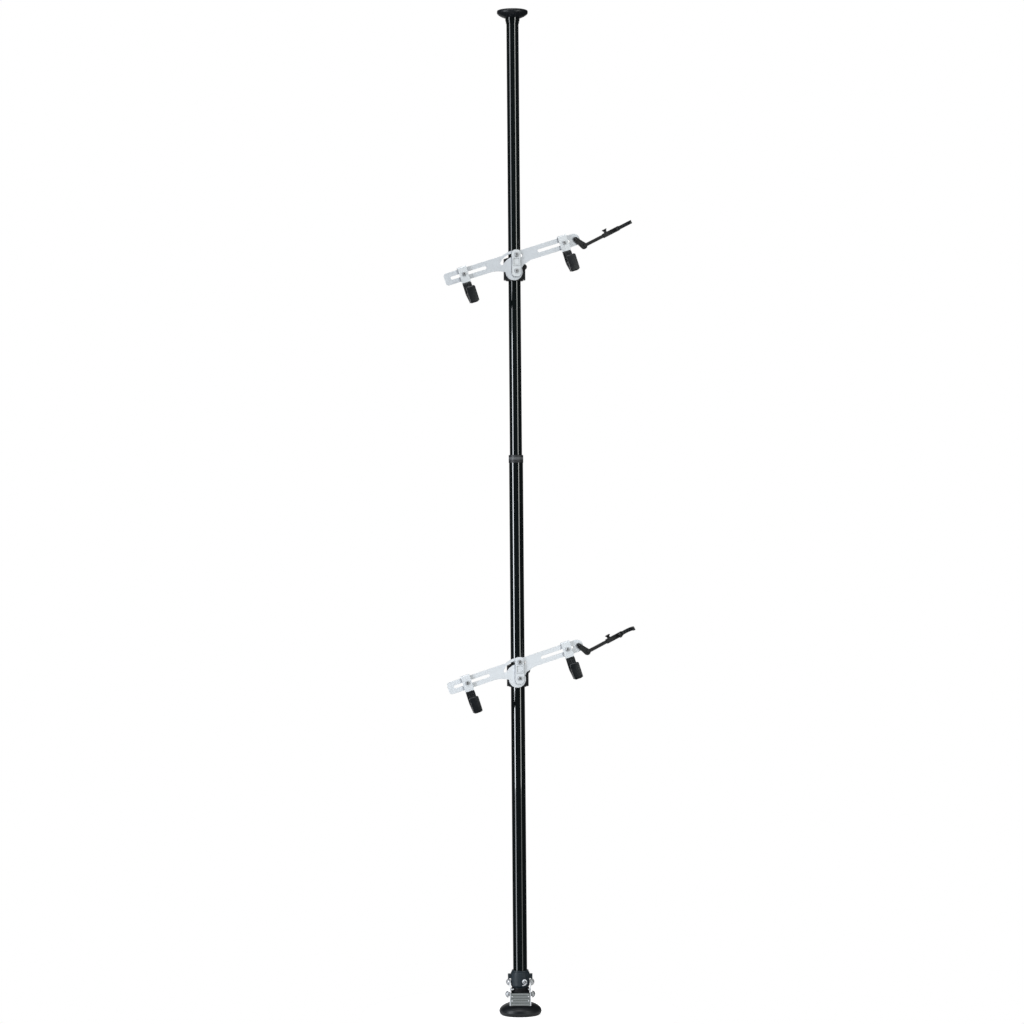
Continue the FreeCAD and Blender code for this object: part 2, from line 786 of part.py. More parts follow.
def liner(name, pivot, tube):
    inside = tube + " + slideFit"
    bottom, top = "-clampBelow - plateFit", "clampAbove + plateFit"
    body = turned(name + "_liner", "Z", [
        (inside, bottom + " - linerLipTall"), ("linerLip", bottom + " - linerLipTall"),
        ("linerLip", bottom), ("linerRadius", bottom), ("linerRadius", top), ("linerLip", top),
        ("linerLip", top + " + linerLipTall"), (inside, top + " + linerLipTall")])
    keep(name + "_liner", body)
    place(body, z=pivot)


def clamp(name, pivot):
    body = newBody(name + "_clamp")
    # a ring with a flat front, whose arc runs the long way round behind the pole
    ring = newSketch(body, "Z", "-clampBelow")
    flat = "sqrt(clampRadius ^ 2 - clampFront ^ 2)"
    outline(ring, [arc("-" + flat, "-clampFront", 1, middleY="0"), (flat, "-clampFront")])
    hole(ring, "0", "0", "linerRadius + slideFit")
    pad(body, ring, "clampBelow + clampAbove")
    tongue = newSketch(body, "Y", "clampFront - tongueThick")
    box(tongue, "-tongueHalf", "tongueHalf", "clampAbove - tongueRoot", "tongueTop")
    pad(body, tongue, "tongueThick")
    corners = [("-tongueHalf", "tongueTop"), ("tongueHalf", "tongueTop")]
    rounded(body, "tongueRound", edgesAt(corners, "x", "z"))
    boss = newSketch(body, "Y", "-screwBossBack")
    hole(boss, "0", "-screwDrop", "screwBoss")
    pad(body, boss, "screwBossBack - (linerRadius + clampRadius) / 2")
    bolts = newSketch(body, "Y", "clampFront")
    hole(bolts, "0", "0", "boltRadius")
    hole(bolts, "0", "tiltBolt", "boltRadius")
    cut(body, bolts, "clampFront - linerRadius + cutOver")
    screw = newSketch(body, "Y", "-screwBossBack")
    hole(screw, "0", "-screwDrop", "screwRadius + slideFit")
    cut(body, screw, "screwBossBack - linerRadius + cutOver", forward=True)
    seat = newSketch(body, "Y", "-linerRadius - shoeThick - slideFit")
    hole(seat, "0", "-screwDrop", "shoeRadius + slideFit")
    cut(body, seat, "2 * shoeThick", forward=True)
    keep(name + "_clamp", body)
    place(body, z=pivot)


def shoe(name, pivot):
    blank = newBody(name + "_shoe_blank")
    sketch = newSketch(blank, "Y", "-linerRadius - shoeThick")
    hole(sketch, "0", "-screwDrop", "shoeRadius")
    pad(blank, sketch, "2 * shoeThick")
    liner = document.addObject("Part::Cylinder", name + "_shoe_hollow")
    bind(liner, "Radius", "linerRadius + slideFit")
    bind(liner, "Height", "2 * clampBelow")
    bind(liner, ".Placement.Base.z", "-2 * clampBelow + screwDrop")
    piece = document.addObject("Part::Cut", name + "_shoe")
    piece.Base = blank
    piece.Tool = liner
    keep(name + "_shoe", piece)
    place(piece, z=pivot)


def clampScrew(name, pivot):
    start = "linerRadius + shoeThick + slideFit"
    end = "screwBossBack + plateFit + leverHubThick"
    body = turned(name + "_clamp_screw", "Y", [
        ("0", start), ("screwRadius", start), ("screwRadius", end), ("screwCap", end),
        ("screwCap", end + " + screwCapRim"), arc("0", end + " + screwCapTall", 1, middleX="0")])
    keep(name + "_clamp_screw", body)
    place(body, z=pivot + " - screwDrop")

    body = newBody(name + "_clamp_lever")
    near = "screwBossBack + plateFit"
    hub = newSketch(body, "Y", "-(%s) - leverHubThick" % near)
    hole(hub, "0", "0", "leverHub")
    pad(body, hub, "leverHubThick")
    inset = "(leverHubThick - leverThick) / 2"
    arm = newSketch(body, "Y", "-(%s) - leverHubThick + %s" % (near, inset))
    outline(arm, [("0", "-leverHub + leverInset"), ("leverWaistAlong", "-leverWaist"),
                  ("leverLength", "-leverEye + leverInset"), ("leverLength", "leverEye - leverInset"),
                  ("leverWaistAlong", "leverWaist"), ("0", "leverHub - leverInset")])
    pad(body, arm, "leverThick")
    eye = newSketch(body, "Y", "-(%s) - leverHubThick + %s" % (near, inset))
    hole(eye, "leverLength", "0", "leverEye")
    pad(body, eye, "leverThick")
    bores = newSketch(body, "Y", "-(%s) - leverHubThick" % near)
    hole(bores, "0", "0", "screwRadius")
    hole(bores, "leverLength", "0", "leverEyeHole")
    cut(body, bores, "leverHubThick", forward=True)
    keep(name + "_clamp_lever", body)
    place(body, z=pivot + " - screwDrop", axis=Vector(0, 1, 0), turn="-leverTurn")


def bracket(name, pivot):
    body = newBody(name + "_bracket")
    half = "bracketWide / 2"
    sketch = newSketch(body, "Y", "bracketBack")
    box(sketch, "-" + half, half, "-bracketBelow", "bracketAbove")
    pad(body, sketch, "bracketSheet")
    rounded(body, "bracketRound", edgesAt(
        [("-" + half, "-bracketBelow"), (half, "-bracketBelow"), ("-" + half, "bracketAbove"),
         (half, "bracketAbove")], "x", "z"))
    # a raised frame between the bolts
    frame = newSketch(body, "Y", "bracketFront")
    for inset in ("0", "bracketRibWide"):
        edge = "(%s - bracketRibInset - %s)" % (half, inset)
        box(frame, "-" + edge, edge, "bracketRibLow + " + inset, "bracketRibTop - " + inset)
    pad(body, frame, "bracketRib")
    bolts = newSketch(body, "Y", "bracketFront")
    hole(bolts, "0", "0", "boltRadius")
    hole(bolts, "0", "tiltBolt", "boltRadius")
    cut(body, bolts, "bracketSheet")
    keep(name + "_bracket", body)
    place(body, z=pivot)


def bolts(name, pivot):
    head = "-bracketFront"
    tip = "-(clampFront - boltBite)"
    pieces = []
    for role, high in (("pivot", "0"), ("tilt", "tiltBolt")):
        end = tip if role == "pivot" else "-(clampFront - tongueThick)"
        body = turned("%s_%s_bolt" % (name, role), "Y", [
            ("0", end), ("boltRadius", end), ("boltRadius", head), ("boltHead", head),
            ("boltHead", head + " - boltHeadTall + boltChamfer"),
            ("boltHead - boltChamfer", head + " - boltHeadTall"),
            ("boltSocket", head + " - boltHeadTall"),
            ("boltSocket", head + " - boltHeadTall + boltSocketDeep"),
            ("0", head + " - boltHeadTall + boltSocketDeep")])
        place(body, z=high)
        pieces.append(body)
    together = group(name + "_bolts", pieces)
    place(together, z=pivot)

    pieces = []
    for role, high, radius in (("pivot", "0", "pivotDisc"), ("tilt", "tiltBolt", "tiltDisc")):
        for side, start in (("back", "clampFront"), ("front", "beamFront")):
            disc = newBody("%s_%s_%s_disc" % (name, role, side))
            sketch = newSketch(disc, "Y", start)
            hole(sketch, "0", "0", radius)
            hole(sketch, "0", "0", "boltRadius + slideFit")
            pad(disc, sketch, "discThick")
            place(disc, z=high)
            pieces.append(disc)
    together = group(name + "_washers", pieces)
    place(together, z=pivot)


def beam(name, pivot):
    body = newBody(name + "_beam")
    low, high = "armMiddle - armHalf", "armMiddle + armHalf"
    shoulder = "sqrt(beamDisc ^ 2 - (armMiddle + armHalf) ^ 2)"
    sketch = newSketch(body, "Y", "beamBack")
    outline(sketch, [
        ("-beamReach", low), ("-beamReach", high), ("-" + shoulder, high),
        arc(shoulder, high, -1, middleY="0"), ("beamReach - armHalf", high),
        arc("beamReach - armHalf", low, -1, middleX="beamReach - armHalf"),
        ("flareRight", low), ("taperAlong", "taperRise"), ("hubRight", "hubRightRise"),
        arc("-hubLeft", "hubLeftRise", -1, middleY="-hubDrop"),
        arc("-flareLeft", low, 1, middleX="-flareLeft")])
    slot(sketch, "-leftSlotOut", "-leftSlotIn", "armMiddle", "slotHalf")
    slot(sketch, "rightSlotIn", "rightSlotOut", "armMiddle", "slotHalf")
    hole(sketch, "0", "0", "boltRadius + slideFit")
    hole(sketch, "armPivotAlong", "armMiddle", "boltRadius")
    outer, inner = "(tiltBolt + tiltSlotHalf)", "(tiltBolt - tiltSlotHalf)"

    def slotPoint(radius, swing):
        return radius + " * sin(" + swing + ")", radius + " * cos(" + swing + ")"

    left, right = slotPoint("tiltBolt", "-tiltSlotLeft")[0], slotPoint("tiltBolt", "tiltSlotRight")[0]
    outline(sketch, [
        arc(*slotPoint(inner, "-tiltSlotLeft"), 1, middleX=left),
        arc(*slotPoint(inner, "tiltSlotRight"), -1, middleY="0"),
        arc(*slotPoint(outer, "tiltSlotRight"), 1, middleX=right),
        arc(*slotPoint(outer, "-tiltSlotLeft"), 1, middleY="0")])
    pad(body, sketch, "beamThick")
    rounded(body, "beamCorner", edgesAt([("-beamReach", low), ("-beamReach", high)], "x", "z"))
    keep(name + "_beam", body)
    place(body, z=pivot, axis=Vector(0, 1, 0), turn="-beamTilt")


def hook(name, pivot, side, along):
    # side view: back leg against the beam, a cradle with a V bottom, and a front lip
    tag = "%s_hook_%s" % (name, side)
    inBeam = {"z": pivot, "axis": Vector(0, 1, 0), "turn": "-beamTilt"}
    floor = "(armMiddle - hookCradle)"
    lip = "(gapBack + hookGap + hookPad)"
    lipFront = "(%s + hookSheet)" % lip
    slope = "(hookGap / 2)"
    steelFloor = "(%s - hookPad * sqrt(2))" % floor
    steelUnder = "(%s - (hookPad + hookSheet) * sqrt(2))" % floor
    steelBend = "%s + gapMiddle - steelFront" % steelFloor
    underBend = "%s + gapMiddle - steelBack" % steelUnder
    lipTop = "armMiddle - hookLipTop"

    body = newBody(tag)
    sketch = newSketch(body, "X", along)
    outline(sketch, [
        ("-steelBack", "armMiddle + hookTop"), ("-steelFront", "armMiddle + hookTop"),
        ("-steelFront", steelBend), ("-gapMiddle", steelFloor), ("-" + lip, steelBend),
        ("-" + lip, lipTop), ("-" + lipFront, lipTop), ("-" + lipFront, underBend),
        ("-gapMiddle", steelUnder), ("-steelBack", underBend)])
    pad(body, sketch, "hookWide", both=True)
    bore = newSketch(body, "Y", "steelBack")
    hole(bore, along, "armMiddle", "hookBolt")
    cut(body, bore, "hookSheet", forward=True)
    keep(tag, body)
    place(body, **inBeam)

    face = "(%s + hookCoat)" % lipFront
    bottom = "armMiddle - padBottom"
    body = newBody(tag + "_pad")
    sketch = newSketch(body, "X", along)
    outline(sketch, [
        ("-steelFront", "armMiddle - padTop"), ("-(gapBack - padEdge / 2)", "armMiddle - padTop"),
        ("-gapBack", "armMiddle - padTop - padEdge"), ("-gapBack", "%s + %s" % (floor, slope)),
        ("-gapMiddle", floor), ("-(gapBack + hookGap)", "%s + %s" % (floor, slope)),
        ("-(gapBack + hookGap)", lipTop), arc("-" + face, lipTop, 1, middleY=lipTop),
        ("-" + face, bottom + " + padChin"), ("-(%s - padChin)" % face, bottom),
        ("-(gapMiddle + padHeel)", bottom), ("-gapMiddle", steelUnder), ("-" + lipFront, underBend),
        ("-" + lipFront, lipTop), ("-" + lip, lipTop), ("-" + lip, steelBend),
        ("-gapMiddle", steelFloor), ("-steelFront", steelBend)])
    pad(body, sketch, "padWide", both=True)
    keep(tag + "_pad", body)
    place(body, **inBeam)

    front = "(steelFront + saddleSheet)"
    inside = "(beamBack - plateFit)"
    back = "(beamBack - plateFit - saddleSheet)"
    top = "armMiddle + saddleAbove"
    under = top + " - saddleSheet"
    body = newBody(tag + "_bracket")
    sketch = newSketch(body, "X", along)
    outline(sketch, [
        ("-steelFront", "armMiddle - saddleBelow"), ("-" + front, "armMiddle - saddleBelow"),
        ("-" + front, under), arc("-(%s - saddleSheet)" % front, top, -1, middleY=under),
        ("-(%s + saddleSheet)" % back, top), arc("-" + back, under, -1, middleY=under),
        ("-" + back, "armMiddle + saddleBack"), ("-" + inside, "armMiddle + saddleBack"),
        ("-" + inside, under), ("-steelFront", under)])
    pad(body, sketch, "saddleWide", both=True)
    bore = newSketch(body, "Y", "steelFront")
    hole(bore, along, "armMiddle", "hookBolt")
    cut(body, bore, "saddleSheet", forward=True)
    keep(tag + "_bracket", body)
    place(body, **inBeam)

    headTip = "-(%s + hookBoltHeadTall)" % front
    nutBack = "-(%s - hookNutTall)" % inside
    body = turned(tag + "_shank", "Y", [
        ("0", nutBack + " + hookBoltEnd"), ("hookBolt - hookBoltEnd / 2", nutBack + " + hookBoltEnd"),
        ("hookBolt", nutBack + " + hookBoltEnd / 2"), ("hookBolt", "-" + front),
        ("hookBoltHead", "-" + front), ("hookBoltHead", headTip + " + hookBoltEnd"),
        ("hookBoltHead - hookBoltEnd", headTip), ("boltSocket", headTip),
        ("boltSocket", headTip + " + boltSocketDeep"), ("0", headTip + " + boltSocketDeep")])
    place(body, x=along, z="armMiddle")
    nut = newBody(tag + "_nut")
    sketch = newSketch(nut, "Y", "%s - hookNutTall" % inside)
    corners = [("hookNut * cos(%d)" % angle, "hookNut * sin(%d)" % angle) for angle in range(0, 360, 60)]
    outline(sketch, corners)
    hole(sketch, "0", "0", "hookBolt")
    pad(nut, sketch, "hookNutTall")
    place(nut, x=along, z="armMiddle")
    together = group(tag + "_bolt", [body, nut])
    place(together, **inBeam)


def armPlace(pivot):
    # the arm's own frame: its origin is the arm's pivot, its x runs along the arm's bar
    return {"x": "armPivotAlong * cos(beamTilt) - armMiddle * sin(beamTilt)",
            "z": pivot + " + armPivotAlong * sin(beamTilt) + armMiddle * cos(beamTilt)",
            "axis": Vector(0, 1, 0), "turn": "-(beamTilt + armRise)"}


def stabiliser(name, pivot):
    body = newBody(name + "_arm")
    sketch = newSketch(body, "Y", "steelBack")
    # the leg is a tapered plate with a round end at the pivot and at the elbow
    along, aside = "cos(legTurn)", "sin(legTurn)"
    outline(sketch, [
        arc("-legPivotHalf * " + aside, "-legPivotHalf * " + along, 1, middleX="0"),
        ("elbowAlong - legElbowHalf * " + aside, "barHigh - legElbowHalf * " + along),
        arc("elbowAlong + legElbowHalf * " + aside, "barHigh + legElbowHalf * " + along,
            1, middleX="elbowAlong"),
        ("legPivotHalf * " + aside, "legPivotHalf * " + along)])
    hole(sketch, "0", "0", "boltRadius + slideFit")
    pad(body, sketch, "legThick")
    bar = newSketch(body, "Y", "barBack")
    box(bar, "elbowAlong", "elbowAlong + barLength", "barHigh - barHalf", "barHigh + barHalf")
    pad(body, bar, "barThick")
    # fine teeth across the bar's top, where the screw of the yoke bites
    teeth = newSketch(body, "Y", "barBack")
    pitch = "(barLength - barTeethStart - barTeethEnd) / barTeeth"
    high = "barHigh + barHalf + slideFit"
    for number in range(int(value("barTeeth"))):
        left = "elbowAlong + barTeethStart + %d * %s" % (number, pitch)
        outline(teeth, [(left, high), ("%s + %s / 2" % (left, pitch), "barHigh + barHalf - barToothDeep"),
                        ("%s + %s * 0.9" % (left, pitch), high)])
    cut(body, teeth, "barThick", forward=True)
    keep(name + "_arm", body)
    place(body, **armPlace(pivot))

    front, back = "-(steelBack + legThick)", "-beamBack"
    body = turned(name + "_arm_rivet", "Y", [
        ("0", back + " + rivetHeadTall"), ("rivetHead - rivetHeadTall", back + " + rivetHeadTall"),
        ("rivetHead", back), ("boltRadius", back), ("boltRadius", front + " - rivetGap"),
        ("rivetHead", front + " - rivetGap"),
        arc("0", front + " - rivetGap - rivetHeadTall", -1, middleX="0")])
    keep(name + "_arm_rivet", body)
    place(body, **armPlace(pivot))


def yoke(name, pivot):
    sleeveHalf = "(barHalf + plateFit + sleeveWall)"
    start = "elbowAlong + sleeveStart"
    lining = "(yokeBore + yokePadThick)"
    outer = "(yokeBore + yokePadThick + yokeWall)"
    centre = "(elbowAlong + yokeReach)"

    def horseshoe(sketch, inner, outside):
        # an open ring: the round part behind, and two legs that reach to the front
        tip = "-(gapMiddle + yokeLeg)"
        outline(sketch, [
            ("%s - %s" % (centre, outside), tip), ("%s - %s" % (centre, inner), tip),
            ("%s - %s" % (centre, inner), "-gapMiddle"),
            arc("%s + %s" % (centre, inner), "-gapMiddle", -1, middleY="-gapMiddle"),
            ("%s + %s" % (centre, inner), tip), ("%s + %s" % (centre, outside), tip),
            ("%s + %s" % (centre, outside), "-gapMiddle"),
            arc("%s - %s" % (centre, outside), "-gapMiddle", 1, middleY="-gapMiddle")])

    body = newBody(name + "_yoke")
    sleeve = newSketch(body, "Y", "barBack - plateFit - sleeveWall")
    box(sleeve, start, centre + " - yokeBore / 2", "-" + sleeveHalf, sleeveHalf)
    pad(body, sleeve, "barThick + 2 * plateFit + 2 * sleeveWall")
    ring = newSketch(body, "Z", "-yokeHalf")
    horseshoe(ring, lining, outer)
    pad(body, ring, "2 * yokeHalf")
    clear = newSketch(body, "Z", "-" + sleeveHalf)
    hole(clear, centre, "-gapMiddle", lining)
    cut(body, clear, "2 * " + sleeveHalf, forward=True)
    cavity = newSketch(body, "X", start)
    box(cavity, "-(barFront + plateFit)", "-(barBack - plateFit)", "-(barHalf + plateFit)",
        "barHalf + plateFit")
    cut(body, cavity, "sleeveCavity", forward=True)
    screw = newSketch(body, "Z", sleeveHalf)
    hole(screw, "elbowAlong + knobAlong", "-(barFront - barThick / 2)", "knobNeck + slideFit")
    cut(body, screw, "sleeveWall + 2 * plateFit")
    keep(name + "_yoke", body)
    turn = "(beamTilt + armRise)"
    lowered = armPlace(pivot)
    lowered["x"] += " - barHigh * sin%s" % turn
    lowered["z"] += " + barHigh * cos%s" % turn
    place(body, **lowered)

    body = newBody(name + "_yoke_pad")
    ring = newSketch(body, "Z", "-yokeHalf")
    horseshoe(ring, "yokeBore", lining)
    pad(body, ring, "2 * yokeHalf")
    keep(name + "_yoke_pad", body)
    place(body, **lowered)

    top = "%s + plateFit" % sleeveHalf
    body = turned(name + "_knob", "Z", [
        ("0", "barHalf + slideFit"), ("knobNeck", "barHalf + slideFit"), ("knobNeck", top),
        ("knobFoot", top), ("knobFoot", top + " + knobFootTall"),
        arc("knobRadius", top + " + knobShoulder", -1, middleX="knobRadius + knobFlare"),
        ("knobRadius", top + " + knobTall - knobChamfer"),
        ("knobRadius - knobChamfer", top + " + knobTall"), ("0", top + " + knobTall")])
    keep(name + "_knob", body)
    # along the bar, over the sleeve
    reach = "(elbowAlong + knobAlong)"
    place(body, x="%s + %s * cos%s" % (lowered["x"], reach, turn), y="-(barFront - barThick / 2)",
          z="%s + %s * sin%s" % (lowered["z"], reach, turn), axis=Vector(0, 1, 0), turn="-" + turn)


foot()
basePost()
axle("lower_axle", "lowerAxleHigh", "frameOutside + axleShoulder", " + axleSpacer")
axle("upper_axle", "upperAxleHigh", "frameOutside + plateFit", "")
pedalFrame()
tread()
housing()
catch()
pole()
for name, pivot, tube in (("lower", "lowerPivot", "lowerTubeRadius"),
                          ("upper", "upperPivot", "upperTubeRadius")):
    liner(name, pivot, tube)
    clamp(name, pivot)
    shoe(name, pivot)
    clampScrew(name, pivot)
    bracket(name, pivot)
    bolts(name, pivot)
    beam(name, pivot)
    hook(name, pivot, "left", "-leftHook")
    hook(name, pivot, "right", "rightHook")
    stabiliser(name, pivot)
    yoke(name, pivot)

document.recompute()
for thing in document.Objects:
    if "Invalid" in thing.State or "Error" in thing.State:
        raise RuntimeError("%s is %s" % (thing.Label, thing.State))
os.makedirs("parts", exist_ok=True)
for node, thing in parts.items():
    shape = thing.Shape
    if shape.isNull() or not shape.isValid():
        raise RuntimeError("%s has no sound shape" % node)
    shape.exportStep("parts/%s.step" % node)
    print("%-26s %2d solid(s) %10.1f mm3" % (node, len(shape.Solids), shape.Volume))
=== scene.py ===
import json
import math

import bmesh
import bpy
from mathutils import Matrix, Vector


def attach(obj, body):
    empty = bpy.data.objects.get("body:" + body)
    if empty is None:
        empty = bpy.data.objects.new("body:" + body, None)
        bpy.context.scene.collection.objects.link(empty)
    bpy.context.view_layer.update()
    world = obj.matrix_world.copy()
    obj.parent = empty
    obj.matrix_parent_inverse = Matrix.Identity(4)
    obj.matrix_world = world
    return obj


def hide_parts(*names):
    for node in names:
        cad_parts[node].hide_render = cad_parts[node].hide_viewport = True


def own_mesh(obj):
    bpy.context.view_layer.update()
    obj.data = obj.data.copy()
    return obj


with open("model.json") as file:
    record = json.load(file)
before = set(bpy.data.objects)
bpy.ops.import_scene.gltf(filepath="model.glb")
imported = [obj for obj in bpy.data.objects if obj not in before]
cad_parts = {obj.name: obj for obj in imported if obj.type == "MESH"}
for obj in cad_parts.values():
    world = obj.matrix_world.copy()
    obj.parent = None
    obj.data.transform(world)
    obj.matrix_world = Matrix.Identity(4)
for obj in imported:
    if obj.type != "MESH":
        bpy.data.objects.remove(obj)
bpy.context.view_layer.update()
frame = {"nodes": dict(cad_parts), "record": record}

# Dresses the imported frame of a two-tier bicycle rack: camera, lights and floor first, then a finish for
# each solid, then the rubber pieces that stand in for the soft solids, and the small trim.

millimetre = 0.001
nodes = frame["nodes"]
print("frame loaded:", len(nodes), "nodes")


def toRadians(degrees):
    return degrees * math.pi / 180


def grey(level):
    return (level, level, level)


def addObject(name, data):
    thing = bpy.data.objects.new(name, data)
    bpy.context.scene.collection.objects.link(thing)
    return thing


def shapeObject(name, shape):
    # turns a finished bmesh into an object
    bmesh.ops.recalc_face_normals(shape, faces=shape.faces)
    mesh = bpy.data.meshes.new(name)
    shape.to_mesh(mesh)
    shape.free()
    return addObject(name, mesh)


def joinLoops(shape, first, second):
    # a band of faces between two closed loops of equally many points
    for step in range(len(first)):
        follow = (step + 1) % len(first)
        shape.faces.new((first[step], first[follow], second[follow], second[step]))


def turnedShape(name, profile, steps):
    # a ring of points for each (radius, height) of the profile, in millimetres; a radius of 0 closes the end
    shape = bmesh.new()
    rings = []
    for radius, high in profile:
        turns = steps if radius else 1
        if rings and (radius, high) == profile[0]:
            rings.append(rings[0])  # the profile closes on itself, so the shape is a ring
            continue
        rings.append([shape.verts.new(Vector((radius * math.cos(2 * math.pi * step / steps),
                                              radius * math.sin(2 * math.pi * step / steps),
                                              high)) * millimetre) for step in range(turns)])
    for first, second in zip(rings, rings[1:]):
        for step in range(steps if len(first) + len(second) > 2 else 0):
            follow = (step + 1) % steps
            corners = [first[step % len(first)], second[step % len(second)],
                       second[follow % len(second)], first[follow % len(first)]]
            shape.faces.new(list(dict.fromkeys(corners)))
    return shapeObject(name, shape)


def sweptShape(name, outline, stations, plane, form=lambda left, up, along: (left, up)):
    # a closed outline of (left, up) points carried through the stations, in millimetres, in the plane's own
    # axes; form may move the points from station to station
    shape = bmesh.new()
    loops = [[shape.verts.new(Vector(plane(*form(left, up, along), along)) * millimetre)
              for left, up in outline] for along in stations]
    for first, second in zip(loops, loops[1:]):
        joinLoops(shape, first, second)
    for end in (loops[0], loops[-1]):
        shape.faces.new(end)
    return shapeObject(name, shape)


def softEdges(thing, width, segments, angle):
    edge = thing.modifiers.new("soft edges", "BEVEL")
    edge.width = width * millimetre
    edge.segments = segments
    edge.limit_method = "ANGLE"
    edge.angle_limit = toRadians(angle)


def smoothSides(thing, angle=38):
    thing.data.polygons.foreach_set("use_smooth", [True] * len(thing.data.polygons))
    thing.data.set_sharp_from_angle(angle=toRadians(angle))


def arcPoints(centreX, centreY, radius, start, end, steps):
    angles = [toRadians(start + (end - start) * step / steps) for step in range(steps + 1)]
    return [(centreX + radius * math.cos(angle), centreY + radius * math.sin(angle)) for angle in angles]


# One groove: (share of the pitch, share of the depth) of its points.
grooveForm = ((0.30, 0), (0.40, 1), (0.60, 1), (0.70, 0))


def grooved(first, last, pitch, deep):
    # small grooves cut into the right hand side of the straight run from first to last
    run = Vector((last[0] - first[0], last[1] - first[1]))
    count = int(run.length / pitch)
    along = run.normalized()
    inward = Vector((along.y, -along.x))
    spare = (run.length - count * pitch) / 2
    points = []
    for number in range(count):
        for share, depth in grooveForm:
            spot = Vector(first) + along * (spare + (number + share) * pitch) + inward * depth * deep
            points.append((spot.x, spot.y))
    return points


# Degrees round the pole from the front, and metres. "aside" and "roll" frame the rack as in the photograph.
view = {"turn": -9.0, "far": 8.0, "high": 1.4307, "lens": 98.7, "sensor": 36.0, "aside": -0.0125,
        "roll": -0.4684}


def makeCamera():
    camera = addObject("camera", bpy.data.cameras.new("camera"))
    camera.data.lens = view["lens"]
    camera.data.sensor_width = view["sensor"]
    turn, roll = toRadians(view["turn"]), toRadians(view["roll"])
    back = Vector((math.sin(turn), -math.cos(turn), 0))
    right = Vector((math.cos(turn), math.sin(turn), 0))
    up = Vector((0, 0, 1))
    rolledRight = right * math.cos(roll) + up * math.sin(roll)
    rolledUp = up * math.cos(roll) - right * math.sin(roll)
    spot = back * view["far"] + right * view["aside"] + up * view["high"]
    camera.matrix_world = Matrix((
        (rolledRight.x, rolledUp.x, back.x, spot.x), (rolledRight.y, rolledUp.y, back.y, spot.y),
        (rolledRight.z, rolledUp.z, back.z, spot.z), (0, 0, 0, 1)))
    bpy.context.scene.camera = camera


makeCamera()
bpy.context.scene.view_settings.view_transform = "Standard"
print("camera set")


class Nodes:
    # adds shader nodes to one tree, and links them by socket name

    def __init__(self, tree):
        self.tree = tree
        tree.nodes.clear()

    def add(self, kind, inputs=(), **settings):
        node = self.tree.nodes.new(kind)
        for name, setting in settings.items():
            setattr(node, name, setting)
        for name, setting in dict(inputs).items():
            node.inputs[name].default_value = setting
        return node

    def link(self, source, socket, target, into):
        self.tree.links.new(source.outputs[socket], target.inputs[into])

    def noise(self, place, scale, detail, rough):
        node = self.add("ShaderNodeTexNoise", {"Scale": scale, "Detail": detail, "Roughness": rough})
        self.link(place, 0, node, "Vector")
        return node

    def stretched(self, place, factors):
        # the same place, scaled along each axis, for marks that run one way
        node = self.add("ShaderNodeVectorMath", operation="MULTIPLY")
        node.inputs[1].default_value = factors
        self.link(place, "Object", node, 0)
        return node

    def ramp(self, source, socket, positions, colours):
        # the ramp's colour, as a (node, socket) pair
        node = self.add("ShaderNodeValToRGB")
        while len(node.color_ramp.elements) < len(positions):
            node.color_ramp.elements.new(0.5)
        for element, position, colour in zip(node.color_ramp.elements, positions, colours):
            element.position = position
            element.color = (*colour, 1)
        self.link(source, socket, node, "Fac")
        return node, "Color"

    def bump(self, source, strength, distance, before=None):
        node = self.add("ShaderNodeBump", {"Strength": strength, "Distance": distance})
        self.link(source, "Fac", node, "Height")
        if before:
            self.link(before, "Normal", node, "Normal")
        return node

    def mixColour(self, first, second, amount, blend="MIX"):
        # each of the three is a (node, socket) pair, or a plain value, and so is what comes back
        node = self.add("ShaderNodeMix", data_type="RGBA", blend_type=blend)
        for index, value in ((0, amount), (6, first), (7, second)):
            if isinstance(value[0] if isinstance(value, tuple) else value, bpy.types.Node):
                self.link(*value, node, index)
            else:
                node.inputs[index].default_value = (*value, 1) if index else value
        return node, 2


# "ambient" is the room's plain light. Glossy rays see the white backdrop straight behind the rack at
# "wallGloss" and the dim room round it at "roomGloss"; one fades into the other where a ray's share to the
# back goes from "wallStart" to "wallEnd". "floorGlow" lights the floor for the camera alone.
studio = {"ambient": 0.32, "roomGloss": 0.03, "wallGloss": 1.0, "wallStart": 0.88, "wallEnd": 0.97,
          "floorRadius": 0.45, "floorSides": 96, "floorDrop": 0.2, "floorGlow": 0.72,
          "floorColour": (0.82, 0.82, 0.82)}


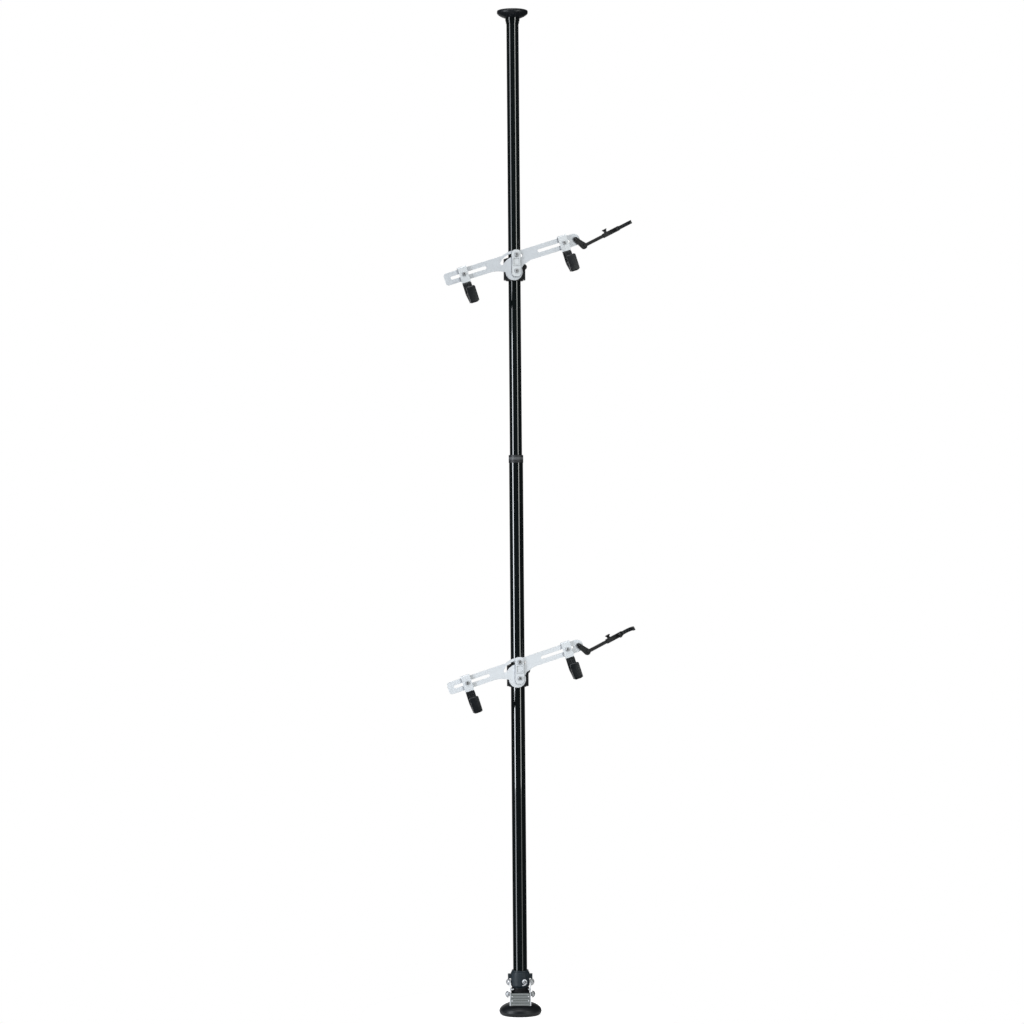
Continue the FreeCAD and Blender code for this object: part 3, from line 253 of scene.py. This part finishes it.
def makeWorld():
    world = bpy.data.worlds.new("studio")
    bpy.context.scene.world = world
    world.use_nodes = True
    make = Nodes(world.node_tree)
    paths = make.add("ShaderNodeLightPath")
    place = make.add("ShaderNodeTexCoord")
    split = make.add("ShaderNodeSeparateXYZ")
    make.link(place, "Generated", split, "Vector")
    side = make.add("ShaderNodeMapRange", {"From Min": studio["wallStart"], "From Max": studio["wallEnd"],
                                           "To Min": studio["roomGloss"], "To Max": studio["wallGloss"]},
                    interpolation_type="SMOOTHSTEP")
    make.link(split, "Y", side, "Value")
    mirrored = make.add("ShaderNodeMath", operation="MAXIMUM")
    make.link(paths, "Is Glossy Ray", mirrored, 0)
    make.link(paths, "Is Transmission Ray", mirrored, 1)
    other = make.add("ShaderNodeMix", data_type="FLOAT")
    make.link(mirrored, "Value", other, "Factor")
    other.inputs[2].default_value = studio["ambient"]
    make.link(side, "Result", other, 3)
    seen = make.add("ShaderNodeMix", data_type="FLOAT")
    make.link(paths, "Is Camera Ray", seen, "Factor")
    make.link(other, 0, seen, 2)
    seen.inputs[3].default_value = 1.0
    light = make.add("ShaderNodeBackground", {"Color": (1, 1, 1, 1)})
    make.link(seen, 0, light, "Strength")
    out = make.add("ShaderNodeOutputWorld")
    make.link(light, "Background", out, "Surface")


# Degrees round the pole from the front, metres, and watts. The strips draw the pole's long lines of light.
lamps = {
    "left strip": {"turn": -63.8, "far": 2.6, "high": 1.35, "aim": 1.35, "wide": 0.62, "tall": 4.1,
                   "power": 36, "colour": (0.90, 0.95, 1.0)},
    "left middle": {"turn": -63.8, "far": 2.5, "high": 1.25, "aim": 1.25, "wide": 0.55, "tall": 1.7,
                    "power": 26, "colour": (0.90, 0.95, 1.0)},
    "right strip": {"turn": 34.4, "far": 2.6, "high": 1.35, "aim": 1.35, "wide": 0.45, "tall": 4.1,
                    "power": 10, "colour": (0.96, 1.0, 0.96)},
    "right upper": {"turn": 34.4, "far": 2.5, "high": 1.9, "aim": 1.9, "wide": 0.42, "tall": 3.0,
                    "power": 18, "colour": (0.96, 1.0, 0.97)},
    "top front": {"turn": -20, "far": 1.9, "high": 4.6, "aim": 1.2, "wide": 1.6, "tall": 1.0,
                  "power": 48, "colour": (1.0, 1.0, 1.0)},
}


def makeLamp(name, settings):
    data = bpy.data.lights.new(name, "AREA")
    data.shape = "RECTANGLE"
    data.size = settings["wide"]
    data.size_y = settings["tall"]
    data.energy = settings["power"]
    data.color = settings["colour"]
    lamp = addObject(name, data)
    angle = toRadians(settings["turn"])
    lamp.location = (settings["far"] * math.sin(angle), -settings["far"] * math.cos(angle), settings["high"])
    aim = Vector((0, 0, settings["aim"])) - lamp.location
    lamp.rotation_euler = aim.to_track_quat("-Z", "Y").to_euler()
    lamp.visible_camera = False


def makeFloor():
    shape = bmesh.new()
    bmesh.ops.create_circle(shape, cap_ends=True, segments=studio["floorSides"],
                            radius=studio["floorRadius"])
    floor = shapeObject("floor", shape)
    floor.location.z = -studio["floorDrop"] * millimetre
    material = bpy.data.materials.new("floor")
    material.use_nodes = True
    make = Nodes(material.node_tree)
    paths = make.add("ShaderNodeLightPath")
    matt = make.add("ShaderNodeBsdfDiffuse", {"Color": (*studio["floorColour"], 1)})
    glow = make.add("ShaderNodeEmission", {"Color": (1, 1, 1, 1)})
    level = make.add("ShaderNodeMath", operation="MULTIPLY")
    level.inputs[1].default_value = studio["floorGlow"]
    make.link(paths, "Is Camera Ray", level, 0)
    make.link(level, "Value", glow, "Strength")
    both = make.add("ShaderNodeAddShader")
    make.link(matt, "BSDF", both, 0)
    make.link(glow, "Emission", both, 1)
    out = make.add("ShaderNodeOutputMaterial")
    make.link(both, "Shader", out, "Surface")
    floor.data.materials.append(material)


makeWorld()
for name, settings in lamps.items():
    makeLamp(name, settings)
makeFloor()
print("studio set")


# Each finish: "dark" and "light" are the two ends of its blotches, "rough" its middle gloss; scales are
# in marks to the metre, depths in millimetres. "edge" rounds the light on sharp edges, "stroke" draws
# polishing marks, "worn" is the colour that shows through at rubbed edges, "recess" is how far from a
# neighbour the painted shade in the corners begins (the colour darkens there in place of the shadow), and
# "band" is a lighter ring: from and to, as shares of the piece's height, and its colour.
finishSettings = {
    "glossBlack": {"name": "gloss black coat", "dark": (0.002, 0.0034, 0.0038),
                   "light": (0.0032, 0.0055, 0.006), "rough": 0.05, "blotch": 160, "grain": 120,
                   "deep": 0.001, "specular": 1.0},
    "satinBlack": {"name": "satin black casting", "dark": (0.006, 0.007, 0.008),
                   "light": (0.012, 0.013, 0.014), "rough": 0.34, "blotch": 260, "grain": 1500,
                   "deep": 0.02, "edge": 0.6, "worn": (0.05, 0.052, 0.055)},
    "collarBlack": {"name": "matt black collar with a lighter band", "dark": (0.013, 0.015, 0.017),
                    "light": (0.020, 0.022, 0.025), "rough": 0.52, "blotch": 260, "grain": 1500, "deep": 0.02,
                    "edge": 0.5, "band": (0.42, 0.70, (0.085, 0.09, 0.095))},
    "housingBlue": {"name": "dark blue grey casting", "dark": (0.009, 0.017, 0.024),
                    "light": (0.015, 0.026, 0.035), "rough": 0.46, "blotch": 240, "grain": 1300,
                    "deep": 0.025, "edge": 0.7, "worn": (0.05, 0.06, 0.07)},
    "hookBlack": {"name": "black coated steel", "dark": (0.005, 0.005, 0.005), "light": (0.009, 0.009, 0.009),
                  "rough": 0.3, "blotch": 260, "grain": 1100, "deep": 0.012, "edge": 0.5,
                  "worn": (0.06, 0.06, 0.06)},
    "rubber": {"name": "matt rubber", "dark": (0.0045, 0.006, 0.008), "light": (0.0075, 0.0095, 0.012),
               "rough": 0.42, "blotch": 120, "grain": 1900, "deep": 0.03},
    "blackPlastic": {"name": "grained black plastic", "dark": (0.007, 0.007, 0.008),
                     "light": (0.012, 0.012, 0.013), "rough": 0.42, "blotch": 300, "grain": 1300,
                     "deep": 0.04, "edge": 0.4},
    "silver": {"name": "silver speckle coat", "dark": (0.60, 0.63, 0.67), "light": (0.73, 0.76, 0.80),
               "rough": 0.42, "blotch": 850, "grain": 1900, "deep": 0.015, "edge": 0.6, "metal": 0.3,
               "recess": 5},
    "bracketSilver": {"name": "light silver coat", "dark": (0.70, 0.73, 0.76), "light": (0.80, 0.83, 0.86),
                      "rough": 0.4, "blotch": 850, "grain": 1900, "deep": 0.012, "edge": 0.7, "metal": 0.3,
                      "recess": 5},
    # A lighter copy of the silver coats for the lower mount: painted light, because that mount is lit
    # brighter.
    "lowerLitSilver": {"name": "silver coat painted lighter for the lower mount", "dark": (0.75, 0.78, 0.82), "light": (0.84, 0.87, 0.91),
                    "rough": 0.45, "blotch": 850, "grain": 1900, "deep": 0.012, "edge": 0.7, "metal": 0.15,
                    "recess": 4},
    "steel": {"name": "bright plated steel", "dark": (0.50, 0.51, 0.53), "light": (0.62, 0.63, 0.65),
              "rough": 0.36, "blotch": 180, "grain": 900, "deep": 0.008, "edge": 0.5, "metal": 0.65,
              "stroke": 0.35, "recess": 3},
    "plateSteel": {"name": "white plated steel sheet", "dark": (0.70, 0.72, 0.75),
                   "light": (0.82, 0.84, 0.87), "rough": 0.4, "blotch": 150, "grain": 900, "deep": 0.008,
                   "edge": 0.5, "metal": 0.35, "stroke": 0.3, "recess": 4},
    "treadGrey": {"name": "grey cast tread", "dark": (0.19, 0.21, 0.21), "light": (0.27, 0.295, 0.29),
                  "rough": 0.5, "blotch": 420, "grain": 1100, "deep": 0.05, "edge": 0.4, "metal": 0.2,
                  "worn": (0.40, 0.42, 0.42), "recess": 3},
}
# What all finishes share: the ramps' stops, the wear's patches and how the polishing marks are drawn out.
finishShared = {"blotchStops": (0.35, 0.65), "wearStops": (0.53, 0.60), "wearLevel": 0.5, "wearPatch": 140,
                "paintedShadeStops": (0.35, 0.85), "paintedShadeLevel": 0.22, "bandFade": 0.04, "glossStops": (0.3, 0.7),
                "glossLow": 0.88, "glossHigh": 1.12, "broader": 7, "strokeScale": (60, 60, 2600),
                "strokeDeep": 0.01}


def finish(settings):
    # one coated or moulded surface: blotchy colour, uneven gloss, a fine grain and softly lit edges
    material = bpy.data.materials.new(settings["name"])
    material.use_nodes = True
    make = Nodes(material.node_tree)
    shared = finishShared
    place = make.add("ShaderNodeTexCoord")
    spot = make.stretched(place, (1, 1, 1))
    surface = make.add("ShaderNodeBsdfPrincipled", {"Metallic": settings.get("metal", 0.0),
                                                    "Specular IOR Level": settings.get("specular", 0.5)})
    blotches = make.noise(spot, settings["blotch"], 4, 0.6)
    colour = make.ramp(blotches, "Fac", shared["blotchStops"], (settings["dark"], settings["light"]))
    if "worn" in settings:
        bend = make.add("ShaderNodeNewGeometry")
        rubbed = make.ramp(bend, "Pointiness", shared["wearStops"], (grey(0), grey(shared["wearLevel"])))
        patchy = make.noise(spot, shared["wearPatch"], 3, 0.7)
        where = make.mixColour(rubbed, (patchy, "Fac"), 1.0, "MULTIPLY")
        colour = make.mixColour(colour, settings["worn"], where)
    # Painted shade: the colour darkens near other surfaces, in place of the shadow in corners and between
    # parts.
    if "recess" in settings:
        corners = make.add("ShaderNodeAmbientOcclusion", {"Distance": settings["recess"] * millimetre},
                           samples=8)
        paintedShade = make.ramp(corners, "AO", shared["paintedShadeStops"], (grey(shared["paintedShadeLevel"]), grey(1)))
        colour = make.mixColour(colour, paintedShade, 1.0, "MULTIPLY")
    # A lighter ring round the collar, between the given shares of its height.
    if "band" in settings:
        low, high, bandColour = settings["band"]
        heights = make.add("ShaderNodeSeparateXYZ")
        make.link(place, "Generated", heights, "Vector")
        ring = make.ramp(heights, "Z", (low - shared["bandFade"], low, high, high + shared["bandFade"]),
                         (grey(0), grey(1), grey(1), grey(0)))
        colour = make.mixColour(colour, bandColour, ring)
    make.link(*colour, surface, "Base Color")
    broad = make.noise(spot, settings["blotch"] / shared["broader"], 2, 0.5)
    levels = [grey(settings["rough"] * shared[end]) for end in ("glossLow", "glossHigh")]
    make.link(*make.ramp(broad, "Fac", shared["glossStops"], levels), surface, "Roughness")
    before = None
    if "edge" in settings:
        before = make.add("ShaderNodeBevel", {"Radius": settings["edge"] * millimetre}, samples=4)
    if "stroke" in settings:
        lines = make.noise(make.stretched(place, shared["strokeScale"]), 1, 2, 0.6)
        before = make.bump(lines, settings["stroke"], shared["strokeDeep"] * millimetre, before)
    grain = make.noise(spot, settings["grain"], 2, 0.5)
    relief = make.bump(grain, 1.0, settings["deep"] * millimetre, before)
    make.link(relief, "Normal", surface, "Normal")
    out = make.add("ShaderNodeOutputMaterial")
    make.link(surface, "BSDF", out, "Surface")
    return material


finishes = {key: finish(settings) for key, settings in finishSettings.items()}
slotFinish = {"gloss_black": "glossBlack", "satin_black": "satinBlack", "hook_black": "hookBlack",
              "rubber": "rubber", "black_plastic": "blackPlastic", "silver": "silver", "steel": "steel",
              "tread_grey": "treadGrey"}
ownFinish = {"pole_housing": "housingBlue", "pedal_frame": "plateSteel", "catch": "plateSteel",
             "lock_collar": "collarBlack", "ceiling_hub": "glossBlack", "lower_beam": "lowerLitSilver"}
# The lower mount's parts take a lighter copy of the upper mount's silver: painted light.
for mount, coat in (("lower", "lowerLitSilver"), ("upper", "bracketSilver")):
    for role in ("bracket", "hook_left_bracket", "hook_right_bracket"):
        ownFinish["%s_%s" % (mount, role)] = coat
    ownFinish[mount + "_arm_rivet"] = "satinBlack"
for part in frame["record"]["subparts"]:
    thing = nodes[part["node"]]
    chosen = ownFinish.get(part["node"], slotFinish[part["material_slot"]])
    thing.data.materials.clear()
    thing.data.materials.append(finishes[chosen])
print("finishes set")


def dressed(piece, body, chosen):
    # a piece takes its finish, and rides on its body
    smoothSides(piece)
    piece.data.materials.append(finishes[chosen])
    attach(piece, body)


def dressedRubber(piece, body, node):
    # a rubber piece that stands in for its plain solid
    dressed(piece, body, "rubber")
    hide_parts(node)


# From here on sizes are in millimetres. An arc is its middle's radius and height, its own radius, the angles
# that it runs between, and its steps.
footSizes = {"radius": 60.0, "underArc": (47.8, 10.5, 12.2, -56, -3, 14),
             "sideArc": (46.0, 10.5, 14.0, 3, 43, 12), "topArc": (24.93, -10.57, 43.8, 46, 78.5, 24),
             "seamHigh": 10.5, "seamProud": 0.25, "seamHalf": 0.3, "crown": 32.7, "high": 32.5,
             "bore": 30.05, "boreLead": 0.5, "floor": 6.0, "ribs": (20, 38, 51), "ribWide": 4.0,
             "ribSlope": 0.8, "lift": 0.8, "steps": 192}


def footRubber():
    foot = footSizes
    profile = [(0, foot["lift"])]
    for rib in foot["ribs"]:  # rings that stand on the floor; the under arc ends the last one
        end = rib + foot["ribWide"]
        profile += [(rib, foot["lift"]), (rib + foot["ribSlope"], 0), (end - foot["ribSlope"], 0)]
        if rib != foot["ribs"][-1]:
            profile.append((end, foot["lift"]))
    profile += arcPoints(*foot["underArc"])
    for high in (foot["seamHigh"] - foot["seamHalf"], foot["seamHigh"] + foot["seamHalf"]):
        profile.append((foot["radius"] + foot["seamProud"], high))
    profile += arcPoints(*foot["sideArc"]) + arcPoints(*foot["topArc"])
    profile += [(foot["crown"], foot["high"]), (foot["bore"] + foot["boreLead"], foot["high"]),
                (foot["bore"], foot["high"] - foot["boreLead"]), (foot["bore"], foot["floor"]),
                (0, foot["floor"])]
    dressedRubber(turnedShape("footRubber", profile, foot["steps"]), "root", "foot_pad")


# The points of the socket, bowl, rim and face are (radius, distance under the ceiling). The face presses on
# the ceiling with two rings.
ceilingSizes = {"top": 2859.0, "socket": ((0, 7.0), (20.5, 7.0), (20.5, 20.6), (21.0, 21.0), (22.5, 21.0)),
                "bowl": ((23.0, 20.8), (28.5, 18.9), (34.0, 16.3), (38.5, 13.3), (41.6, 10.9), (43.1, 9.0)),
                "rim": ((44.0, 7.4), (44.0, 2.2), (43.4, 0.8), (42.0, 0)),
                "face": ((38, 0), (37, 0.9), (27, 0.9), (26, 0), (22, 0), (21, 0.9), (0, 0.9)), "steps": 144}


def ceilingRubber():
    pad = ceilingSizes
    points = pad["socket"] + pad["bowl"] + pad["rim"] + pad["face"]
    profile = [(radius, pad["top"] - down) for radius, down in points]
    dressedRubber(turnedShape("ceilingRubber", profile, pad["steps"]), "upper_pole", "ceiling_pad")


# The height of each mount's pivot, and where its hooks stand along the beam.
mounts = {"lower": 959.0, "upper": 2115.0}
hookPlaces = {"left": -147.0, "right": 155.0}
beamSizes = {"tilt": 17.5, "armMiddle": 35.0}
mouldedEdge = {"width": 0.4, "segments": 2, "angle": 50}


def beamPlane(pivot):
    # (depth, height) in the beam's own frame and a distance along the beam, turned with the beam
    lean = toRadians(beamSizes["tilt"])

    def point(deep, high, along):
        return (along * math.cos(lean) - high * math.sin(lean), deep,
                pivot + along * math.sin(lean) + high * math.cos(lean))
    return point


# Heights are over the pivot in the beam's own frame, depths are from the pole's axis to the front. The hook's
# steel sheet comes down from the beam, bends at the middle under the floor, and ends in the lip at the front.
# "near" is the play in the tests of where a point lies.
hookSizes = {"half": 12.75, "steelFront": 36.8, "steelBack": 33.3, "gapBack": 40.3, "gapFront": 76.3,
             "middle": 58.3, "floor": -39.0, "slope": 18.0, "lipTop": -7.5, "padTop": 9.0, "topWide": 1.0,
             "topTall": 2.0, "face": 85.3, "bottom": -51.0, "toe": 9.0, "toeCut": 2.6, "heel": 5.0,
             "sheet": 3.5, "lip": 79.8, "lipFront": 83.3, "groovePitch": 3.2, "grooveDeep": 0.7,
             "grooveTop": 3.0, "grooveLow": 1.0, "capSteps": 12, "cornerRadius": 6.0, "cornerHigh": 10.0,
             "cornerFade": 5.0, "crown": 1.0, "crownIn": 1.0, "tipShare": 0.8, "near": 0.1,
             "shares": (0, 0.25, 0.53, 0.66, 0.78, 0.88, 0.95, 0.985, 1)}


def hookOutline(hook, steelUnder):
    # the moulding round the hook, which leaves the steel's channel open at the bottom
    corner = hook["floor"] + hook["slope"]
    steelFloor = hook["floor"] - hook["sheet"] * math.sqrt(2)
    steelBend = steelFloor + hook["middle"] - hook["steelFront"]
    underBend = steelUnder + hook["middle"] - hook["steelBack"]
    cap, capRadius = (hook["gapFront"] + hook["face"]) / 2, (hook["face"] - hook["gapFront"]) / 2
    back, front, middle = -hook["gapBack"], -hook["gapFront"], -hook["middle"]
    runs = (((back, hook["padTop"] - hook["grooveTop"]), (back, corner + hook["grooveLow"])),
            ((back, corner), (middle, hook["floor"])),
            ((middle, hook["floor"]), (front, corner)))
    outline = [(-hook["steelFront"], hook["padTop"]), (back + hook["topWide"], hook["padTop"]),
               (back, hook["padTop"] - hook["topTall"])]
    for first, last in runs:
        outline += grooved(first, last, hook["groovePitch"], hook["grooveDeep"]) + [last]
    outline += [(front, hook["lipTop"])]
    outline += arcPoints(-cap, hook["lipTop"], capRadius, 0, 180, hook["capSteps"])[1:]
    outline += [(-hook["face"], hook["bottom"] + hook["toe"]),
                (-(hook["face"] - hook["toeCut"]), hook["bottom"] + hook["toeCut"]),
                (-(hook["face"] - hook["toe"]), hook["bottom"]), (middle - hook["heel"], hook["bottom"]),
                (middle, steelUnder), (-hook["lipFront"], underBend), (-hook["lipFront"], hook["lipTop"]),
                (-hook["lip"], hook["lipTop"]), (-hook["lip"], steelBend), (middle, steelFloor),
                (-hook["steelFront"], steelBend)]
    return outline


def hookRubber(mount, side):
    hook = hookSizes
    place = hookPlaces[side]
    steelUnder = hook["floor"] - 2 * hook["sheet"] * math.sqrt(2)
    cornersEnd = hook["bottom"] + hook["cornerHigh"]

    def softened(deep, high, along):
        # the lip has round corners and a slightly crowned face, and the steel's channel stays as it is
        reach = abs(along - place)
        past = max(0, reach - (hook["half"] - hook["cornerRadius"]))
        drop = hook["cornerRadius"] - math.sqrt(hook["cornerRadius"] ** 2 - past ** 2)
        under = high < steelUnder - hook["near"] and -deep > hook["middle"]
        if under or -deep > hook["lipFront"] + hook["near"]:
            if high < cornersEnd:
                high += drop * min(1, (cornersEnd - high) / hook["cornerFade"])
            if -deep > hook["face"] - hook["crownIn"]:
                deep += hook["crown"] * (reach / hook["half"]) ** 2
        if -deep > hook["gapFront"] + hook["near"] and high > hook["lipTop"] + hook["near"]:
            tip = 1 - hook["tipShare"] * drop / hook["cornerRadius"]
            high = hook["lipTop"] + (high - hook["lipTop"]) * tip
        return deep, high

    shares = [-share for share in hook["shares"][:0:-1]] + list(hook["shares"])
    stations = [place + share * hook["half"] for share in shares]
    rubber = sweptShape("%s_%s_hookRubber" % (mount, side), hookOutline(hook, steelUnder), stations,
                        beamPlane(mounts[mount]), softened)
    softEdges(rubber, **mouldedEdge)
    dressedRubber(rubber, "%s_hook_%s" % (mount, side), "%s_hook_%s_pad" % (mount, side))


# The yoke opens to the front, round a middle at (centre, deep). At one of every "gripSteps" steps its lining
# goes out to "groove" times the bore, which leaves small grip ribs between.
yokeSizes = {"pivotAlong": 190.0, "rise": 9.5, "drop": -27.863, "centre": 136.59, "deep": -58.3, "bore": 18.0,
             "outside": 21.0, "leg": 12.0, "half": 5.2, "groove": 1.03, "gripSteps": 4, "steps": 40}


def yokePlane(pivot):
    # the yoke lies across the arm's bar: (along the bar, depth) and a height over the bar's middle
    rise = toRadians(beamSizes["tilt"] + yokeSizes["rise"])
    startX, _, startZ = beamPlane(pivot)(0, beamSizes["armMiddle"], yokeSizes["pivotAlong"])
    startX -= yokeSizes["drop"] * math.sin(rise)
    startZ += yokeSizes["drop"] * math.cos(rise)

    def point(along, deep, high):
        return (startX + along * math.cos(rise) - high * math.sin(rise), deep,
                startZ + along * math.sin(rise) + high * math.cos(rise))
    return point


def yokeRubber(mount):
    yoke = yokeSizes
    centre, deep, tip = yoke["centre"], yoke["deep"], yoke["deep"] - yoke["leg"]
    outline = [(centre - yoke["outside"], tip), (centre - yoke["bore"], tip)]
    for step in range(yoke["steps"] + 1):
        grooveHere = step % yoke["gripSteps"] == yoke["gripSteps"] // 2
        reach = yoke["bore"] * (yoke["groove"] if grooveHere else 1)
        angle = toRadians(step * 180 / yoke["steps"])
        outline.append((centre - reach * math.cos(angle), deep + reach * math.sin(angle)))
    outline += [(centre + yoke["bore"], tip), (centre + yoke["outside"], tip)]
    outline += arcPoints(centre, deep, yoke["outside"], 0, 180, yoke["steps"])
    stations = (-yoke["half"], yoke["half"])
    rubber = sweptShape(mount + "_yokeRubber", outline, stations, yokePlane(mounts[mount]))
    softEdges(rubber, **mouldedEdge)
    dressedRubber(rubber, mount + "_yoke", mount + "_yoke_pad")


# A rubber bellows closes the gap between the post and the housing. Each fold is a row of (share of its
# height, share of its depth).
bellowsSizes = {"low": 61.55, "high": 77.95, "stem": 18.2, "out": 26.8, "neck": 23.4, "fold": 2.6, "folds": 4,
                "wall": 1.6, "lip": 1.0, "steps": 96, "keep": 0.51,
                "form": ((0.0, 1.0), (0.22, 0.25), (0.38, 0.03), (0.5, 0.0), (0.62, 0.03), (0.78, 0.25))}


# The dark rubber is partly painted shade: it fills the gap under the housing, where the black post shows in
# shadow.
def shadeFillBellows():
    fold = bellowsSizes
    pitch = (fold["high"] - fold["low"] - 2 * fold["lip"]) / fold["folds"]
    outside = [(fold["stem"], fold["low"]), (fold["out"] - fold["lip"], fold["low"])]
    inside = [(fold["stem"], fold["low"] + fold["lip"])]
    for number in range(fold["folds"]):
        low = fold["low"] + fold["lip"] + number * pitch
        out = fold["out"] if number < fold["folds"] - 1 else fold["out"] - fold["lip"]
        for share, depth in fold["form"]:
            outside.append((out - depth * fold["fold"], low + share * pitch))
            inside.append((out - depth * fold["fold"] - fold["wall"], low + share * pitch))
    outside += [(fold["neck"], fold["high"] - fold["lip"]), (fold["neck"], fold["high"])]
    inside.append((fold["neck"] - fold["wall"], fold["high"]))
    bellows = turnedShape("postBellows", outside + inside[::-1] + outside[:1], fold["steps"])
    dressed(bellows, "root", "rubber")
    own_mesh(bellows)


# The pedal's own frame: across, depth (minus is the front) and height over the floor, turned to the camera.
# The right lug is the shorter one, because the catch's boss comes down beside it.
pedalSizes = {"turn": 9.0, "plateIn": 27.55, "lugTip": {"left": 18.6, "right": 22.4}, "lugBack": -22.0,
              "lugFront": -38.0, "lugSheet": 2.0, "lugBend": 1.2, "lugCut": 0.5, "lugFillet": 0.6,
              "lugLow": 74.2, "lugHigh": 77.4, "lugLean": 0.14,
              "lugEdge": {"width": 0.4, "segments": 2, "angle": 40}}


def pedalPoint(across, deep, high):
    turn = toRadians(pedalSizes["turn"])
    return Vector((across * math.cos(turn) + deep * math.sin(turn),
                   deep * math.cos(turn) - across * math.sin(turn), high)) * millimetre


def pedalLug(side, sign):
    # a bent strip on the plate's inner face
    lug = pedalSizes
    outer, tip, front = lug["plateIn"], lug["lugTip"][side], lug["lugFront"]
    inner, rear = outer - lug["lugSheet"], front + lug["lugSheet"]
    plan = [(outer, lug["lugBack"]), (outer, front + lug["lugBend"]), (outer - lug["lugBend"], front),
            (tip + lug["lugCut"], front), (tip, front + lug["lugCut"]), (tip, rear),
            (inner - lug["lugFillet"], rear), (inner, rear + lug["lugFillet"]), (inner, lug["lugBack"])]
    shape = bmesh.new()
    low, high = [[shape.verts.new(pedalPoint(sign * across, deep, level + (outer - across) * lug["lugLean"]))
                  for across, deep in plan] for level in (lug["lugLow"], lug["lugHigh"])]
    joinLoops(shape, low, high)
    shape.faces.new(low)
    shape.faces.new(high)
    strip = shapeObject("pedalLug_" + side, shape)
    softEdges(strip, **lug["lugEdge"])
    dressed(strip, "pedal", "plateSteel")


# A rivet's form is a row of (share of its radius, share of its height).
rivetSizes = {"across": (-23.2, 23.2), "highs": (46.4, 58.6), "face": -51.5, "radius": 1.9, "proud": 1.1,
              "form": ((1.0, -0.4), (1.0, 0.25), (0.86, 0.62), (0.55, 0.9), (0.2, 1.0)), "steps": 18}


def treadRivets():
    # four low domes hold the tread on its web
    rivet = rivetSizes
    angles = [toRadians(step * 360 / rivet["steps"]) for step in range(rivet["steps"])]
    shape = bmesh.new()
    for across in rivet["across"]:
        for high in rivet["highs"]:
            rings = [[shape.verts.new(pedalPoint(across + rivet["radius"] * share * math.cos(angle),
                                                 rivet["face"] - rivet["proud"] * rise,
                                                 high + rivet["radius"] * share * math.sin(angle)))
                      for angle in angles] for share, rise in rivet["form"]]
            for first, second in zip(rings, rings[1:]):
                joinLoops(shape, first, second)
            shape.faces.new(rings[0])
            shape.faces.new(rings[-1])
    dressed(shapeObject("treadRivets", shape), "pedal", "plateSteel")


# A dark ring is set in the catch's dome, round its middle: painted shade, standing in for the shadow of a
# recess round the dome's middle.
catchSizes = {"across": 12.5, "high": 96.0, "face": -30.2, "inner": 2.3, "outer": 4.0, "proud": 0.9,
              "slope": 0.3, "steps": 48}


def catchShadeRing():
    ring = catchSizes
    section = ((ring["inner"], 0), (ring["inner"] + ring["slope"], ring["proud"]),
               (ring["outer"] - ring["slope"], ring["proud"]), (ring["outer"], 0))
    shape = bmesh.new()
    loops = []
    for step in range(ring["steps"]):
        angle = toRadians(step * 360 / ring["steps"])
        loops.append([shape.verts.new(pedalPoint(ring["across"] + radius * math.cos(angle),
                                                 ring["face"] - proud,
                                                 ring["high"] + radius * math.sin(angle)))
                      for radius, proud in section])
    for first, second in zip(loops, loops[1:] + loops[:1]):
        joinLoops(shape, first, second)
    dressed(shapeObject("catchShadeRing", shape), "catch", "blackPlastic")


footRubber()
ceilingRubber()
print("foot and ceiling pads made")
shadeFillBellows()
catchShadeRing()
pedalLug("left", -1)
pedalLug("right", 1)
treadRivets()
print("bellows and pedal trim made")
for mount in mounts:
    for side in hookPlaces:
        hookRubber(mount, side)
    yokeRubber(mount)
print("hook and yoke pads made")
